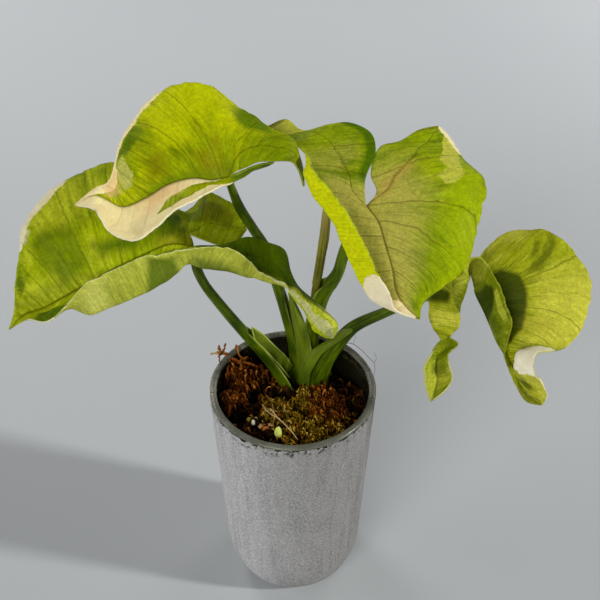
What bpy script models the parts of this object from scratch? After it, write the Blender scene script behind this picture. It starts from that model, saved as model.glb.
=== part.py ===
import math

import bmesh
import bpy
import numpy as np
from mathutils import Vector
from mathutils.bvhtree import BVHTree

# Driving sizes, in millimetres. Origin: centre of the pot's foot, +Z up, -Y towards the front.
MM = 0.001
GAP = 0.3
RIM_RADIUS = 35.0
POT_HEIGHT = 109.0
WAIST_RADIUS = 30.6
CORNER_HEIGHT = 27.0
FOOT_RADIUS = 20.4
COAT_TOP = 104.5
COAT_WALL = 1.2
GLASS_WALL = 1.9
GLASS_FLOOR = 6.0
GLASS_FOOT_INSET = 0.6
FLOOR_FILLET = (2.0, 4.0)
LIP_ROUND = 1.2
BLADE_THICKNESS = 0.8
SHEATH_WALL = 0.9

# Heights between which the pot's walls run straight.
FOOT_STEP = 1.0
CORNER_STEPS = (4.0, 9.0, 16.0)
WALL_STEPS = (CORNER_HEIGHT, 65.0)

# Resolution of the faceted solids.
POT_SIDES = 44
CROWN_SIDES = 28
BLADE_COLUMNS = 5
ROW_STEPS = 2
STEM_STEPS = 2
CURVE_SAMPLES = 12

# Points nearer than this are one point, as along a rib and at a leaf's tip.
SAME_POINT = 0.02

# The crown stands in a plain pocket of the moss.
CROWN_CENTRE = (4.5, 10.5)
CROWN_RADII = (11.2, 9.4)
CROWN_BOTTOM = 76.0
CROWN_TOP = 90.7
CROWN_TAPER = 4.0
CROWN_FOOT_SHARES = (0.55, 0.85)
POCKET_CLEARANCE = 0.8

# Surface of the moss: mean height, slope to the front, slope to the right, height of its lumps.
MOSS_HEIGHT = 101.0
MOSS_FRONT_RISE = 3.2
MOSS_RIGHT_FALL = 1.8
MOSS_LUMP = 1.3
MOSS_RINGS = (0.0, 0.2, 0.4, 0.6, 0.8, 1.0)
MOSS_WALL_STEPS = (90.0, 65.0, CORNER_HEIGHT, 16.0, 11.0)
MOSS_FOOT_INSET = 4.0

# What lies on the moss: place, and half size along X, Y and Z.
ON_MOSS = {
    "grain_white": ((-16.2, -17.2), (0.8, 1.1, 1.4)),
    "grain_cream": ((-15.2, -14.4), (0.8, 0.9, 0.8)),
    "grain_yellow": ((-18.1, -13.0), (1.1, 1.0, 1.0)),
    "side_shoot": ((-6.3, -25.8), (1.6, 1.4, 2.2)),
}
DROP_HEIGHT = 115.0
SEAT_ROUNDS = 12
GRAIN_DETAIL = 2
SHOOT_POINT = 0.6

# A blade is a rib from the petiole to the tip and two halves. Each half has lobe rows, which run
# from the tip of the basal lobe to the petiole, and blade rows, one for each rib point. A lobe row
# goes from the inner margin to the outer one. A blade row starts at its rib point, which isn't
# repeated. "arch" is the rise of a two-point row over its width.
LEAF_A = {
    "up": (0.0, -0.5, 0.85),
    "rib": [(-23, 0.5, 216.5), (-28.5, -2, 217), (-35.5, -3, 218.5), (-44, -6, 218),
            (-52, -10, 215), (-60.5, -12, 212.5), (-65.5, -12, 215.5), (-69.5, -12, 217.5),
            (-77.5, -11, 212.5)],
    "far": {
        "arch": 0.09,
        "lobe": [
            [(4.5, 6.5, 208)],
            [(2, 6.5, 215.5), (1, 13, 211.5)],
            [(0, 7.5, 218), (-0.5, 15, 217.5)],
            [(-2.5, 7, 219), (-2.5, 18, 221.5)],
            [(-7, 6, 219.5), (-8, 21.5, 223.5)],
            [(-12, 5, 220), (-13.5, 25, 226)],
            [(-16.5, 3, 219), (-19.5, 27.5, 228.5)],
            [(-20, 2, 218), (-26, 31, 232.5)],
        ],
        "blade": [
            [(-33, 32.5, 236)],
            [(-42, 30.5, 237)],
            [(-51, 26, 234.5)],
            [(-58, 18.5, 229)],
            [(-63, 10, 224)],
            [(-64, 1.5, 220.5)],
            [(-66, -7, 219)],
            [(-69, -8.5, 218.5)],
        ],
    },
    "near": {
        "arch": -0.08,
        "lobe": [
            [(-3, 10, 213.5)],
            [(-9, 8, 217), (-8, 12.5, 212)],
            [(-14, 6, 217), (-13, 11, 211.5)],
            [(-19, 3, 216.5), (-18, 6, 212)],
        ],
        "blade": [
            [(-22, -1, 214.5)],
            [(-28.5, -12.5, 220)],
            [(-33.5, -18, 220)],
            [(-40.5, -22.5, 219)],
            [(-46.5, -28, 216)],
            [(-54, -31.5, 213)],
            [(-63, -27.5, 213.5)],
            [(-68.5, -19.5, 216.5)],
        ],
    },
}

LEAF_B = {
    "up": (0.0, -0.6, 0.8),
    "rib": [(-37.5, 0.5, 184.5), (-46, -1, 186.5), (-55.5, -4, 184), (-65.5, -8, 181),
            (-75, -11.5, 177), (-85, -14.5, 172.5), (-93, -16.5, 168.5), (-100.5, -17.5, 166),
            (-104, -19.5, 164), (-107, -21.5, 161.5)],
    "far": {
        "arch": 0.08,
        "lobe": [
            [(-17.5, 12, 183)],
            [(-22.5, 6, 180.5), (-20.5, 19, 187.5)],
            [(-28, 4.5, 181.5), (-26, 23, 189)],
            [(-33, 4, 184), (-33, 25, 191)],
            [(-36, 4, 185.5), (-38.5, 20.5, 188)],
            [(-39, 4.5, 186.5), (-42, 18.5, 187)],
        ],
        "blade": [
            [(-49.5, 21.5, 189)],
            [(-59.5, 28.5, 195)],
            [(-71, 32.5, 200)],
            [(-82, 29.5, 197.5)],
            [(-94, 22, 194)],
            [(-102.5, 11, 187.5)],
            [(-104, 1, 181)],
            [(-105, -9.5, 172)],
            [(-105, -16, 166)],
        ],
    },
    "near": {
        "arch": 0.0,
        "lobe": [
            [(15, -34.5, 169.5)],
            [(16.5, -32, 170.5), (14, -37, 175.5), (11, -36, 172)],
            [(16.5, -29.5, 172), (13, -37, 178.5), (8.5, -34.5, 172.5)],
            [(12.5, -25, 174), (9.5, -33.5, 179.5), (6.5, -31.5, 174.5)],
            [(7.5, -20.5, 176), (5.5, -28.5, 180.5), (4, -27.5, 177.5)],
            [(2.5, -16, 178), (1, -22.5, 181.5), (-0.5, -23.5, 180.5)],
            [(-0.5, -8.5, 179), (-2, -18.5, 180), (-2.5, -20.5, 183.5)],
            [(-3, 1, 182), (-6.5, -16, 180), (-6, -18, 183.5)],
            [(-9, 3.5, 183.5), (-11, -14.5, 180), (-11.5, -15, 185)],
            [(-17, 5, 185), (-18, -13.5, 181), (-17, -12.5, 189.5)],
            [(-26.5, 1.5, 184), (-26.5, -13, 183.5), (-23.5, -11, 193)],
            [(-34, 0.5, 184.5), (-34, -11, 183.5), (-31, -11.5, 193.5)],
        ],
        "blade": [
            [(-39, -9.5, 184), (-37.5, -12, 193.5)],
            [(-46.5, -16, 181), (-47, -16, 194.5)],
            [(-55, -21, 179), (-55.5, -19, 194.5)],
            [(-64.5, -23.5, 176), (-65.5, -21.5, 190.5)],
            [(-74, -25, 172.5), (-74.5, -22.5, 186)],
            [(-85, -21, 171.5), (-87, -24.5, 171.5)],
            [(-93, -22, 165.5)],
            [(-99.5, -20, 165)],
            [(-103.5, -20, 163)],
        ],
    },
}

LEAF_C = {
    "up": (0.0, -0.75, 0.66),
    "rib": [(27.5, -4, 206.5), (31.5, -10, 204), (34, -17, 198.5), (36.5, -22.5, 192),
            (38, -27.5, 185.5), (42, -31, 180.5), (46.5, -32, 176.5)],
    "far": {
        "arch": 0.07,
        "lobe": [
            [(55.5, 30.5, 218.5)],
            [(47.5, 26, 219.5), (59.5, 26, 216.5)],
            [(40.5, 21, 218), (62, 21.5, 214.5)],
            [(32.5, 16, 218.5), (64.5, 16, 213)],
            [(29, 6, 213.5), (68.5, 10, 212.5)],
            [(31, 0, 210), (71, 6.5, 211)],
        ],
        "blade": [
            [(71.5, 1, 207.5)],
            [(69.5, -4, 204)],
            [(67, -11.5, 197)],
            [(63, -18.5, 189)],
            [(54.5, -24, 184.5)],
            [(47.5, -28.5, 180.5)],
        ],
    },
    "near": {
        "arch": 0.06,
        "lobe": [
            [(-9.5, 39, 213)],
            [(-2, 38, 216.5), (-6, 35, 212)],
            [(3.5, 34.5, 214), (-3, 32.5, 212)],
            [(13, 31, 216.5), (-1, 31, 213)],
            [(20.5, 29, 221), (0, 27.5, 213.5)],
            [(29.5, 22, 221), (6, 19.5, 215.5), (3, 18, 217)],
            [(31, 14, 218), (11, 13, 215.5), (5.5, 9.5, 217.5), (6.5, 7, 220)],
            [(27, 4, 213), (12, 7, 214.5), (4.5, 1, 217.5), (8, -3.5, 222)],
        ],
        "blade": [
            [(16, -1, 212), (7.5, -6.5, 214.5), (14, -11.5, 219.5)],
            [(20.5, -9, 205.5), (14, -14, 209.5), (20.5, -18.5, 213)],
            [(25.5, -17, 198.5), (19, -21.5, 201), (26.5, -26, 205)],
            [(28.5, -23, 191.5), (23, -26.5, 193.5), (30.5, -31, 197.5)],
            [(33, -28.5, 185), (28.5, -31.5, 186.5), (35.5, -34, 189.5)],
            [(38, -33, 181), (37, -35, 184)],
        ],
    },
}

LEAF_D = {
    "up": (0.2, -0.8, 0.5),
    "rib": [(71, 11.5, 161), (73.5, 8, 154), (77, 4, 148), (80, -0.5, 143), (82.5, -5.5, 139),
            (86, -10, 135.5), (88.5, -14, 132.5), (90, -17, 130), (92, -20.5, 128),
            (94.5, -23, 126.5), (98.5, -27, 126)],
    "far": {
        "arch": 0.09,
        "lobe": [
            [(82, 25, 162.5)],
            [(78.5, 21.5, 163), (85.5, 27.5, 165)],
            [(75, 18, 163.5), (89.5, 30, 168)],
            [(72.5, 14.5, 163), (96, 28.5, 170)],
        ],
        "blade": [
            [(103, 26, 171.5)],
            [(113.5, 18.5, 165.5)],
            [(119, 9, 158)],
            [(115.5, -3.5, 147)],
            [(107.5, -12.5, 143.5)],
            [(94, -11.5, 142.5), (100, -16, 145)],
            [(88.5, -16, 144), (94, -21, 147)],
            [(87.5, -21, 139.5), (93.5, -26.5, 142.5)],
            [(97, -24.5, 137.5)],
            [(100, -26, 131.5)],
        ],
    },
    "near": {
        "arch": 0.0,
        "lobe": [
            [(53.5, -33.5, 134.5)],
            [(59.5, -30, 138), (55.5, -28.5, 135.5), (51.5, -30.5, 138.5)],
            [(62, -26.5, 140.5), (57, -24.5, 137.5), (51, -27.5, 142.5)],
            [(61, -23, 143.5), (57, -20.5, 140), (51, -25, 145.5)],
            [(60.5, -19, 146), (57, -17.5, 143.5), (53, -22, 147.5)],
            [(64.5, -15.5, 148.5), (60.5, -15, 146), (56, -18, 150)],
            [(61, -13.5, 151), (57, -15, 152.5), (59.5, -18, 153.5)],
            [(64, -10.5, 154.5), (54.5, -13, 155), (64, -15.5, 157)],
            [(65.5, -6, 156.5), (53.5, -8.5, 158), (64.5, -13, 160.5)],
            [(66, -3.5, 158), (53.5, -4.5, 161), (62.5, -10, 164)],
            [(67, -2.5, 160.5), (57, 0, 164.5), (61.5, -6.5, 166.5)],
            [(68, -1, 163.5), (60.5, 2.5, 167.5), (62, -2.5, 168)],
            [(68.5, 2, 164), (64, 4.5, 170)],
            [(69.5, 5, 164), (66, 6, 171.5)],
        ],
        "blade": [
            [(72, 12.5, 166.5), (73.5, 9, 171.5)],
            [(75.5, 3.5, 161), (77, 4.5, 170)],
            [(78.5, 0.5, 156), (80.5, -0.5, 165.5)],
            [(79.5, -3.5, 151.5), (83.5, -5, 159)],
            [(83, -7.5, 146), (86, -8, 152.5)],
            [(84.5, -11, 137.5), (84, -12, 139.5)],
            [(86.5, -14.5, 132)],
            [(88, -17.5, 129.5)],
            [(90, -21, 127.5)],
            [(92.8, -24.8, 125.8)],
        ],
    },
}

# A petiole is a route from the crown to its blade. Each point has a radius, and how far its
# section opens from a full round (0) to a sheath (1). "opens" is the side that the sheath opens
# to, "wing" is how far its two edges stand up and "floor" how thick it is under its channel.
PETIOLES = {
    "petiole_a": {
        "opens": (1.0, -0.25, 0.0), "wing": 1.6, "floor": 2.4,
        "route": [(0.5, 14.5, 91), (1, 13.7, 105), (0.5, 12.8, 121), (-3, 11.5, 142),
                  (-6, 11, 156), (-10, 10, 174.5), (-15, 8, 187), (-19.7, 5.5, 199.2),
                  (-23.2, 2.2, 214.8)],
        "radius": [2.5, 2.5, 2.5, 2.4, 2.3, 2.1, 1.9, 1.9, 1.3],
        "open": [1, 1, 1, 1, 0, 0, 0, 0, 0],
    },
    "petiole_b": {
        "opens": (0.8, 0.0, 0.6), "wing": 2.2, "floor": 2.6,
        "route": [(1, 7, 91), (-1, 7.2, 99), (-4, 7.4, 106), (-12.5, 5, 125), (-17, 3, 133.5),
                  (-21, 1.5, 141), (-29, -0.5, 156.5), (-34, -1, 166.5), (-36.5, -1.5, 175),
                  (-37.6, -0.8, 183.1)],
        "radius": [2.6, 2.7, 2.8, 2.8, 2.5, 2.2, 2.0, 1.9, 1.9, 1.3],
        "open": [1, 1, 1, 1, 1, 0, 0, 0, 0, 0],
    },
    "petiole_c": {
        "opens": (-1.0, 0.1, 0.2), "wing": 3.2, "floor": 3.3,
        "route": [(8.5, 15, 91), (8, 14, 105), (7.5, 12.5, 122), (9.5, 10.5, 140),
                  (12.5, 8, 155), (15.8, 6, 162), (18, 4.4, 168.5), (20.5, 2.8, 181.5),
                  (24.5, 0, 193.5), (27.3, -3.5, 205.9)],
        "radius": [3.0, 3.1, 3.2, 3.3, 3.4, 2.7, 2.3, 2.2, 2.0, 1.3],
        "open": [1, 1, 1, 1, 1, 0, 0, 0, 0, 0],
    },
    "petiole_d": {
        "opens": (-0.5, 0.8, 0.3), "wing": 1.2, "floor": 1.3,
        "route": [(9.5, 9.5, 91), (9.5, 9.5, 104), (12.5, 9, 116), (18, 8.5, 126),
                  (25.5, 7.5, 136.5), (37.5, 6, 145.5), (47, 6.5, 150.5), (59, 8.5, 154.5),
                  (70.3, 11, 159.7)],
        "radius": [5.6, 5.7, 5.0, 3.8, 2.6, 2.1, 2.0, 2.0, 1.3],
        "open": [1, 1, 1, 1, 0, 0, 0, 0, 0],
    },
}

# The youngest leaf is still rolled up: it stands in the sheath of petiole_c.
SPEAR_ROUTE = [(8.6, 9.2, 150), (9.2, 8.4, 156), (10, 7.8, 162), (12, 8.8, 178.5),
               (13, 9.5, 192), (13.5, 11, 205)]
SPEAR_RADIUS = [1.5, 1.7, 1.9, 2.1, 1.9, 0.5]
SPEAR_SIDES = 10

# Finishes: base colour, roughness, metallic.
FINISH = {
    "glass": ((0.42, 0.46, 0.43), 0.08, 0.0),
    "stone_coat": ((0.56, 0.55, 0.53), 0.92, 0.0),
    "moss": ((0.22, 0.10, 0.03), 0.95, 0.0),
    "stem_green": ((0.10, 0.24, 0.03), 0.45, 0.0),
    "blade_yellow_green": ((0.36, 0.42, 0.03), 0.42, 0.0),
    "blade_green": ((0.22, 0.34, 0.04), 0.42, 0.0),
    "blade_olive": ((0.28, 0.31, 0.05), 0.42, 0.0),
    "blade_pale_green": ((0.32, 0.38, 0.06), 0.42, 0.0),
    "young_leaf": ((0.42, 0.42, 0.16), 0.5, 0.0),
    "grain_white": ((0.78, 0.74, 0.66), 0.8, 0.0),
    "grain_cream": ((0.68, 0.60, 0.38), 0.8, 0.0),
    "grain_yellow": ((0.42, 0.36, 0.08), 0.7, 0.0),
    "side_shoot": ((0.42, 0.45, 0.09), 0.45, 0.0),
}


def make_material(name):
    colour, roughness, metallic = FINISH[name]
    material = bpy.data.materials.new(name)
    material.use_nodes = True
    shader = material.node_tree.nodes["Principled BSDF"]
    shader.inputs["Base Color"].default_value = (*colour, 1.0)
    shader.inputs["Roughness"].default_value = roughness
    shader.inputs["Metallic"].default_value = metallic
    return material


def make_object(name, bm, finish):
    bmesh.ops.scale(bm, vec=(MM, MM, MM), verts=bm.verts)
    mesh = bpy.data.meshes.new(name)
    bm.to_mesh(mesh)
    bm.free()
    mesh.materials.append(make_material(finish))
    mesh.shade_smooth()
    mesh.set_sharp_from_angle(angle=math.radians(40))
    part = bpy.data.objects.new(name, mesh)
    bpy.context.scene.collection.objects.link(part)
    return part


def spline(points, steps):
    """Centripetal Catmull-Rom curve through the points, with `steps` stretches between each two."""
    points = np.asarray(points, dtype=float)
    ends = (2 * points[0] - points[1], 2 * points[-1] - points[-2])
    run = np.vstack([ends[0], points, ends[1]])
    spans = np.linalg.norm(np.diff(run, axis=0), axis=1)
    knots = np.concatenate([[0.0], np.cumsum(np.sqrt(np.maximum(spans, 1e-6)))])
    curve = []
    for i in range(1, len(run) - 2):
        k0, k1, k2, k3 = knots[i - 1:i + 3]
        p0, p1, p2, p3 = run[i - 1:i + 3]
        for k in np.linspace(k1, k2, steps, endpoint=False):
            a1 = (k1 - k) / (k1 - k0) * p0 + (k - k0) / (k1 - k0) * p1
            a2 = (k2 - k) / (k2 - k1) * p1 + (k - k1) / (k2 - k1) * p2
            a3 = (k3 - k) / (k3 - k2) * p2 + (k - k2) / (k3 - k2) * p3
            b1 = (k2 - k) / (k2 - k0) * a1 + (k - k0) / (k2 - k0) * a2
            b2 = (k3 - k) / (k3 - k1) * a2 + (k - k1) / (k3 - k1) * a3
            curve.append((k2 - k) / (k2 - k1) * b1 + (k - k1) / (k2 - k1) * b2)
    curve.append(run[-2])
    return np.array(curve)


def even_row(points, columns):
    """A row's points, spread evenly over its length."""
    if len(points) == 1:
        return np.repeat(np.array(points, dtype=float), columns + 1, axis=0)
    curve = spline(points, CURVE_SAMPLES)
    length = np.concatenate([[0.0], np.cumsum(np.linalg.norm(np.diff(curve, axis=0), axis=1))])
    places = np.linspace(0, length[-1], columns + 1)
    return np.stack([np.interp(places, length, curve[:, axis]) for axis in range(3)], axis=1)


def half_blade(leaf, side):
    """Grid of points of one half: rows from the lobe's tip to the blade's tip, rib to margin."""
    half = leaf[side]
    outer = [[rib] + row for rib, row in zip(leaf["rib"], half["blade"])]
    rows = half["lobe"] + outer + [[leaf["rib"][-1]]]
    grid = np.array([even_row(row, BLADE_COLUMNS) for row in rows])
    middle = grid[:, BLADE_COLUMNS // 2].copy()
    across = np.linspace(0, 1, BLADE_COLUMNS + 1)[:, None]
    up = np.array(leaf["up"])
    for i, row in enumerate(rows):
        if len(row) != 2:
            continue
        width = grid[i, -1] - grid[i, 0]
        along = middle[min(i + 1, len(rows) - 1)] - middle[max(i - 1, 0)]
        normal = np.cross(along, width)
        normal *= math.copysign(1.0, normal @ up) / np.linalg.norm(normal)
        grid[i] += half["arch"] * np.linalg.norm(width) * 4 * across * (1 - across) * normal
    fine = np.stack([spline(column, ROW_STEPS) for column in grid.transpose(1, 0, 2)], axis=1)
    start = len(half["lobe"]) * ROW_STEPS
    fine[start:, 0] = spline(leaf["rib"], ROW_STEPS)
    return fine


def add_grid(bm, points):
    """Faces over a grid of points, each square split the same way."""
    rows = [[bm.verts.new(point) for point in row] for row in points]
    for near, far in zip(rows, rows[1:]):
        for column in range(len(near) - 1):
            corners = (near[column], near[column + 1], far[column + 1], far[column])
            bm.faces.new(corners)


def make_blade(name, leaf, finish):
    bm = bmesh.new()
    for side in ("far", "near"):
        add_grid(bm, half_blade(leaf, side))
    bmesh.ops.remove_doubles(bm, verts=bm.verts, dist=SAME_POINT)
    bmesh.ops.dissolve_degenerate(bm, dist=SAME_POINT, edges=bm.edges)
    bmesh.ops.recalc_face_normals(bm, faces=bm.faces)
    bmesh.ops.triangulate(bm, faces=bm.faces, quad_method="FIXED")
    blade = make_object(name, bm, finish)
    skin = blade.modifiers.new("thickness", "SOLIDIFY")
    skin.thickness = BLADE_THICKNESS * MM
    skin.offset = 0.0
    return blade


def loft(bm, rings):
    """Closed skin through rings of equal count, capped at both ends."""
    loops = [[bm.verts.new(point) for point in ring] for ring in rings]
    for lower, upper in zip(loops, loops[1:]):
        for i in range(len(lower)):
            j = (i + 1) % len(lower)
            bm.faces.new((lower[i], lower[j], upper[j], upper[i]))
    bm.faces.new(list(reversed(loops[0])))
    bm.faces.new(loops[-1])
    bmesh.ops.recalc_face_normals(bm, faces=bm.faces)


def sheath_section(radius, opening, wing, floor):
    """Outline of a petiole across its run: a round that opens into a channel with two wings.

    Nine points lie on the outside, from wing to wing, and five on the channel's inside.
    """
    outside = [math.radians(32 * (i - 4)) for i in range(9)]
    between = [math.radians(128 + 104 * (i + 1) / 6) for i in range(5)]
    round_form = [(radius * math.sin(t), -radius * math.cos(t)) for t in outside + between]
    inside = radius - SHEATH_WALL
    shoulder = 0.35 * wing
    channel = [(-radius, wing), (-radius, 0.0)]
    channel += [(radius * math.sin(math.radians(t)), -radius * math.cos(math.radians(t)))
                for t in (-60, -30, 0, 30, 60)]
    channel += [(radius, 0.0), (radius, wing)]
    channel += [(inside, wing), (0.95 * inside, shoulder), (0.0, floor - radius)]
    channel += [(-0.95 * inside, shoulder), (-inside, wing)]
    return [(a[0] + (b[0] - a[0]) * opening, a[1] + (b[1] - a[1]) * opening)
            for a, b in zip(round_form, channel)]


def rings_along(route, section_at, facing):
    """Sections square across a route, with their +Y side to `facing`. The first one lies level."""
    rings = []
    for i, centre in enumerate(route):
        ahead = route[min(i + 1, len(route) - 1)] - route[max(i - 1, 0)]
        ahead = Vector(ahead).normalized() if i else Vector((0.0, 0.0, 1.0))
        side = Vector(facing).cross(ahead).normalized()
        out = ahead.cross(side)
        middle = Vector(centre)
        rings.append([middle + side * x + out * y for x, y in section_at(i)])
    return rings


def make_petiole(name, spec):
    route = spline(spec["route"], STEM_STEPS)
    places = np.arange(len(spec["route"]))
    fine = np.linspace(0, len(spec["route"]) - 1, len(route))
    radius = np.interp(fine, places, spec["radius"])
    opening = np.interp(fine, places, spec["open"])

    def section_at(i):
        return sheath_section(radius[i], opening[i], spec["wing"], spec["floor"])

    bm = bmesh.new()
    loft(bm, rings_along(route, section_at, spec["opens"]))
    return make_object(name, bm, "stem_green")


def make_spear():
    route = spline(SPEAR_ROUTE, STEM_STEPS + 1)
    places = np.arange(len(SPEAR_ROUTE))
    radius = np.interp(np.linspace(0, len(SPEAR_ROUTE) - 1, len(route)), places, SPEAR_RADIUS)

    def section_at(i):
        turns = [2 * math.pi * k / SPEAR_SIDES for k in range(SPEAR_SIDES)]
        return [(radius[i] * math.cos(t), radius[i] * math.sin(t)) for t in turns]

    bm = bmesh.new()
    loft(bm, rings_along(route, section_at, (0.0, -1.0, 0.0)))
    return make_object("young_leaf", bm, "young_leaf")


def pot_radius(height):
    """Outside radius of the pot: a straight taper over a rounded lower corner."""
    if height >= CORNER_HEIGHT:
        share = (height - CORNER_HEIGHT) / (POT_HEIGHT - CORNER_HEIGHT)
        return WAIST_RADIUS + (RIM_RADIUS - WAIST_RADIUS) * share
    drop = 1 - height / CORNER_HEIGHT
    return FOOT_RADIUS + (WAIST_RADIUS - FOOT_RADIUS) * math.sqrt(max(0.0, 1 - drop * drop))


def spun(name, profile, finish):
    """A wall turned about Z, from a profile that starts and ends on the axis."""
    bm = bmesh.new()
    verts = [bm.verts.new((radius, 0.0, height)) for radius, height in profile]
    edges = [bm.edges.new(pair) for pair in zip(verts, verts[1:])]
    bmesh.ops.spin(bm, geom=verts + edges, cent=(0, 0, 0), axis=(0, 0, 1),
                   angle=2 * math.pi, steps=POT_SIDES, use_merge=True)
    bmesh.ops.remove_doubles(bm, verts=bm.verts, dist=SAME_POINT)
    bmesh.ops.recalc_face_normals(bm, faces=bm.faces)
    return make_object(name, bm, finish)


def make_coat():
    heights = [0.0, FOOT_STEP, *CORNER_STEPS, *WALL_STEPS, COAT_TOP]
    outside = [(pot_radius(h), h) for h in heights]
    inside = [(pot_radius(h) - COAT_WALL, max(h, COAT_WALL)) for h in reversed(heights)]
    return spun("stone_coat", [(0.0, 0.0)] + outside + inside + [(0.0, COAT_WALL)], "stone_coat")


def glass_inside(height):
    return pot_radius(height) - COAT_WALL - GAP - GLASS_WALL


def make_glass():
    inset = COAT_WALL + GAP
    shoulder = COAT_TOP + GAP
    foot = [(0.0, inset), (pot_radius(FOOT_STEP) - inset - GLASS_FOOT_INSET, inset)]
    outside = [(pot_radius(h) - inset, h) for h in (*CORNER_STEPS, *WALL_STEPS, shoulder)]
    lip = [(pot_radius(COAT_TOP), shoulder)]
    lip += [(RIM_RADIUS, POT_HEIGHT - LIP_ROUND), (RIM_RADIUS - LIP_ROUND, POT_HEIGHT)]
    lip += [(glass_inside(POT_HEIGHT) + LIP_ROUND, POT_HEIGHT)]
    lip += [(glass_inside(POT_HEIGHT), POT_HEIGHT - LIP_ROUND)]
    fillet_top = GLASS_FLOOR + FLOOR_FILLET[1]
    inside = [(glass_inside(h), h) for h in (*reversed(WALL_STEPS), CORNER_STEPS[-1], fillet_top)]
    floor = [(glass_inside(GLASS_FLOOR) - FLOOR_FILLET[0], GLASS_FLOOR), (0.0, GLASS_FLOOR)]
    return spun("glass_cup", foot + outside + lip + inside + floor, "glass")


def moss_height(x, y):
    """Height of the moss: a slope, and lumps that fade out at the glass."""
    slope = -MOSS_FRONT_RISE * y / RIM_RADIUS - MOSS_RIGHT_FALL * x / RIM_RADIUS
    lumps = math.sin(0.41 * x + 0.9) * math.cos(0.37 * y - 0.4)
    lumps += 0.6 * math.sin(0.83 * x - 0.55 * y) + 0.5 * math.cos(0.71 * y + 0.62 * x + 1.3)
    return MOSS_HEIGHT + slope + MOSS_LUMP * lumps


def make_moss():
    """The body of moss that fills the glass, and a tree to find its surface by."""
    pocket = [radius + POCKET_CLEARANCE for radius in CROWN_RADII]
    turns = [2 * math.pi * k / POT_SIDES for k in range(POT_SIDES)]

    def ring(share, height_of):
        """Ring between the pocket (share 0) and the glass (share 1)."""
        points = []
        for t in turns:
            rim = moss_height(RIM_RADIUS * math.cos(t), RIM_RADIUS * math.sin(t))
            wall = glass_inside(rim) - GAP
            reach = [side * (1 - share) + wall * share for side in pocket]
            x = CROWN_CENTRE[0] * (1 - share) + math.cos(t) * reach[0]
            y = CROWN_CENTRE[1] * (1 - share) + math.sin(t) * reach[1]
            points.append((x, y, height_of(x, y)))
        return points

    def wall_ring(height, radius):
        return [(radius * math.cos(t), radius * math.sin(t), height) for t in turns]

    rings = [ring(0.0, lambda x, y: CROWN_BOTTOM - GAP)]
    rings += [ring(share, moss_height) for share in MOSS_RINGS]
    rings += [wall_ring(height, glass_inside(height) - GAP) for height in MOSS_WALL_STEPS]
    rings.append(wall_ring(GLASS_FLOOR + GAP, glass_inside(GLASS_FLOOR) - MOSS_FOOT_INSET))
    bm = bmesh.new()
    loft(bm, rings)
    surface = BVHTree.FromBMesh(bm)
    make_object("moss", bm, "moss")
    return surface


def make_crown():
    turns = [2 * math.pi * k / CROWN_SIDES for k in range(CROWN_SIDES)]
    levels = [(CROWN_FOOT_SHARES[0], CROWN_BOTTOM), (CROWN_FOOT_SHARES[1], CROWN_BOTTOM + CROWN_TAPER)]
    levels += [(1.0, CROWN_TOP - CROWN_TAPER), (1.0, CROWN_TOP)]
    bm = bmesh.new()
    loft(bm, [[(CROWN_CENTRE[0] + CROWN_RADII[0] * size * math.cos(t),
                CROWN_CENTRE[1] + CROWN_RADII[1] * size * math.sin(t), height)
               for t in turns] for size, height in levels])
    return make_object("crown", bm, "stem_green")


def make_on_moss(name, surface):
    """A grain, or the pointed side shoot, lowered onto the moss."""
    place, half = ON_MOSS[name]
    bm = bmesh.new()
    bmesh.ops.create_icosphere(bm, subdivisions=GRAIN_DETAIL, radius=1.0)
    if name == "side_shoot":
        for vert in bm.verts:
            narrowing = 1 - SHOOT_POINT * max(vert.co.z, 0.0) ** 2
            vert.co.x *= narrowing
            vert.co.y *= narrowing
    bmesh.ops.scale(bm, vec=half, verts=bm.verts)
    bmesh.ops.translate(bm, vec=(*place, DROP_HEIGHT), verts=bm.verts)
    for _ in range(SEAT_ROUNDS):
        space = min(surface.find_nearest(vert.co)[3] for vert in bm.verts)
        bmesh.ops.translate(bm, vec=(0.0, 0.0, GAP - space), verts=bm.verts)
    return make_object(name, bm, name)


def build():
    for old in list(bpy.data.objects):
        bpy.data.objects.remove(old)
    make_coat()
    make_glass()
    moss_surface = make_moss()
    make_crown()
    for name, spec in PETIOLES.items():
        make_petiole(name, spec)
    make_spear()
    make_blade("blade_a", LEAF_A, "blade_yellow_green")
    make_blade("blade_b", LEAF_B, "blade_green")
    make_blade("blade_c", LEAF_C, "blade_olive")
    make_blade("blade_d", LEAF_D, "blade_pale_green")
    for name in ON_MOSS:
        make_on_moss(name, moss_surface)


build()
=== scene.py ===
import math
import random

import bmesh
import bpy
import numpy as np
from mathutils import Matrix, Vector, noise


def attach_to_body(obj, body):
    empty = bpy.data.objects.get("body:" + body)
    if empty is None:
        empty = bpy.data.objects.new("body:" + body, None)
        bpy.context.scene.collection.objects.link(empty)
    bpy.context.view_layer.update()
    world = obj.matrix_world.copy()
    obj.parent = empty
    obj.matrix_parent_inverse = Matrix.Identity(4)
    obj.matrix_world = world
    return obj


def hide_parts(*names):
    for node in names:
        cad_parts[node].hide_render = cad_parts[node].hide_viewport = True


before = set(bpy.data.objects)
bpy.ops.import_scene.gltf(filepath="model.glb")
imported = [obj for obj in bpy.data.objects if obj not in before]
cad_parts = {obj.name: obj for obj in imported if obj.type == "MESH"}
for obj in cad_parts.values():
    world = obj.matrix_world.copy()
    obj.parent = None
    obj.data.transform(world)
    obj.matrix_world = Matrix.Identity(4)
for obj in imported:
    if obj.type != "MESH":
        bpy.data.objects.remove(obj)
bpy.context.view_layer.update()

mm = 0.001
scene = bpy.context.scene
print("frame loaded:", len(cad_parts), "nodes")


# Shared ways of making curves, tubes and pieces

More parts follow.
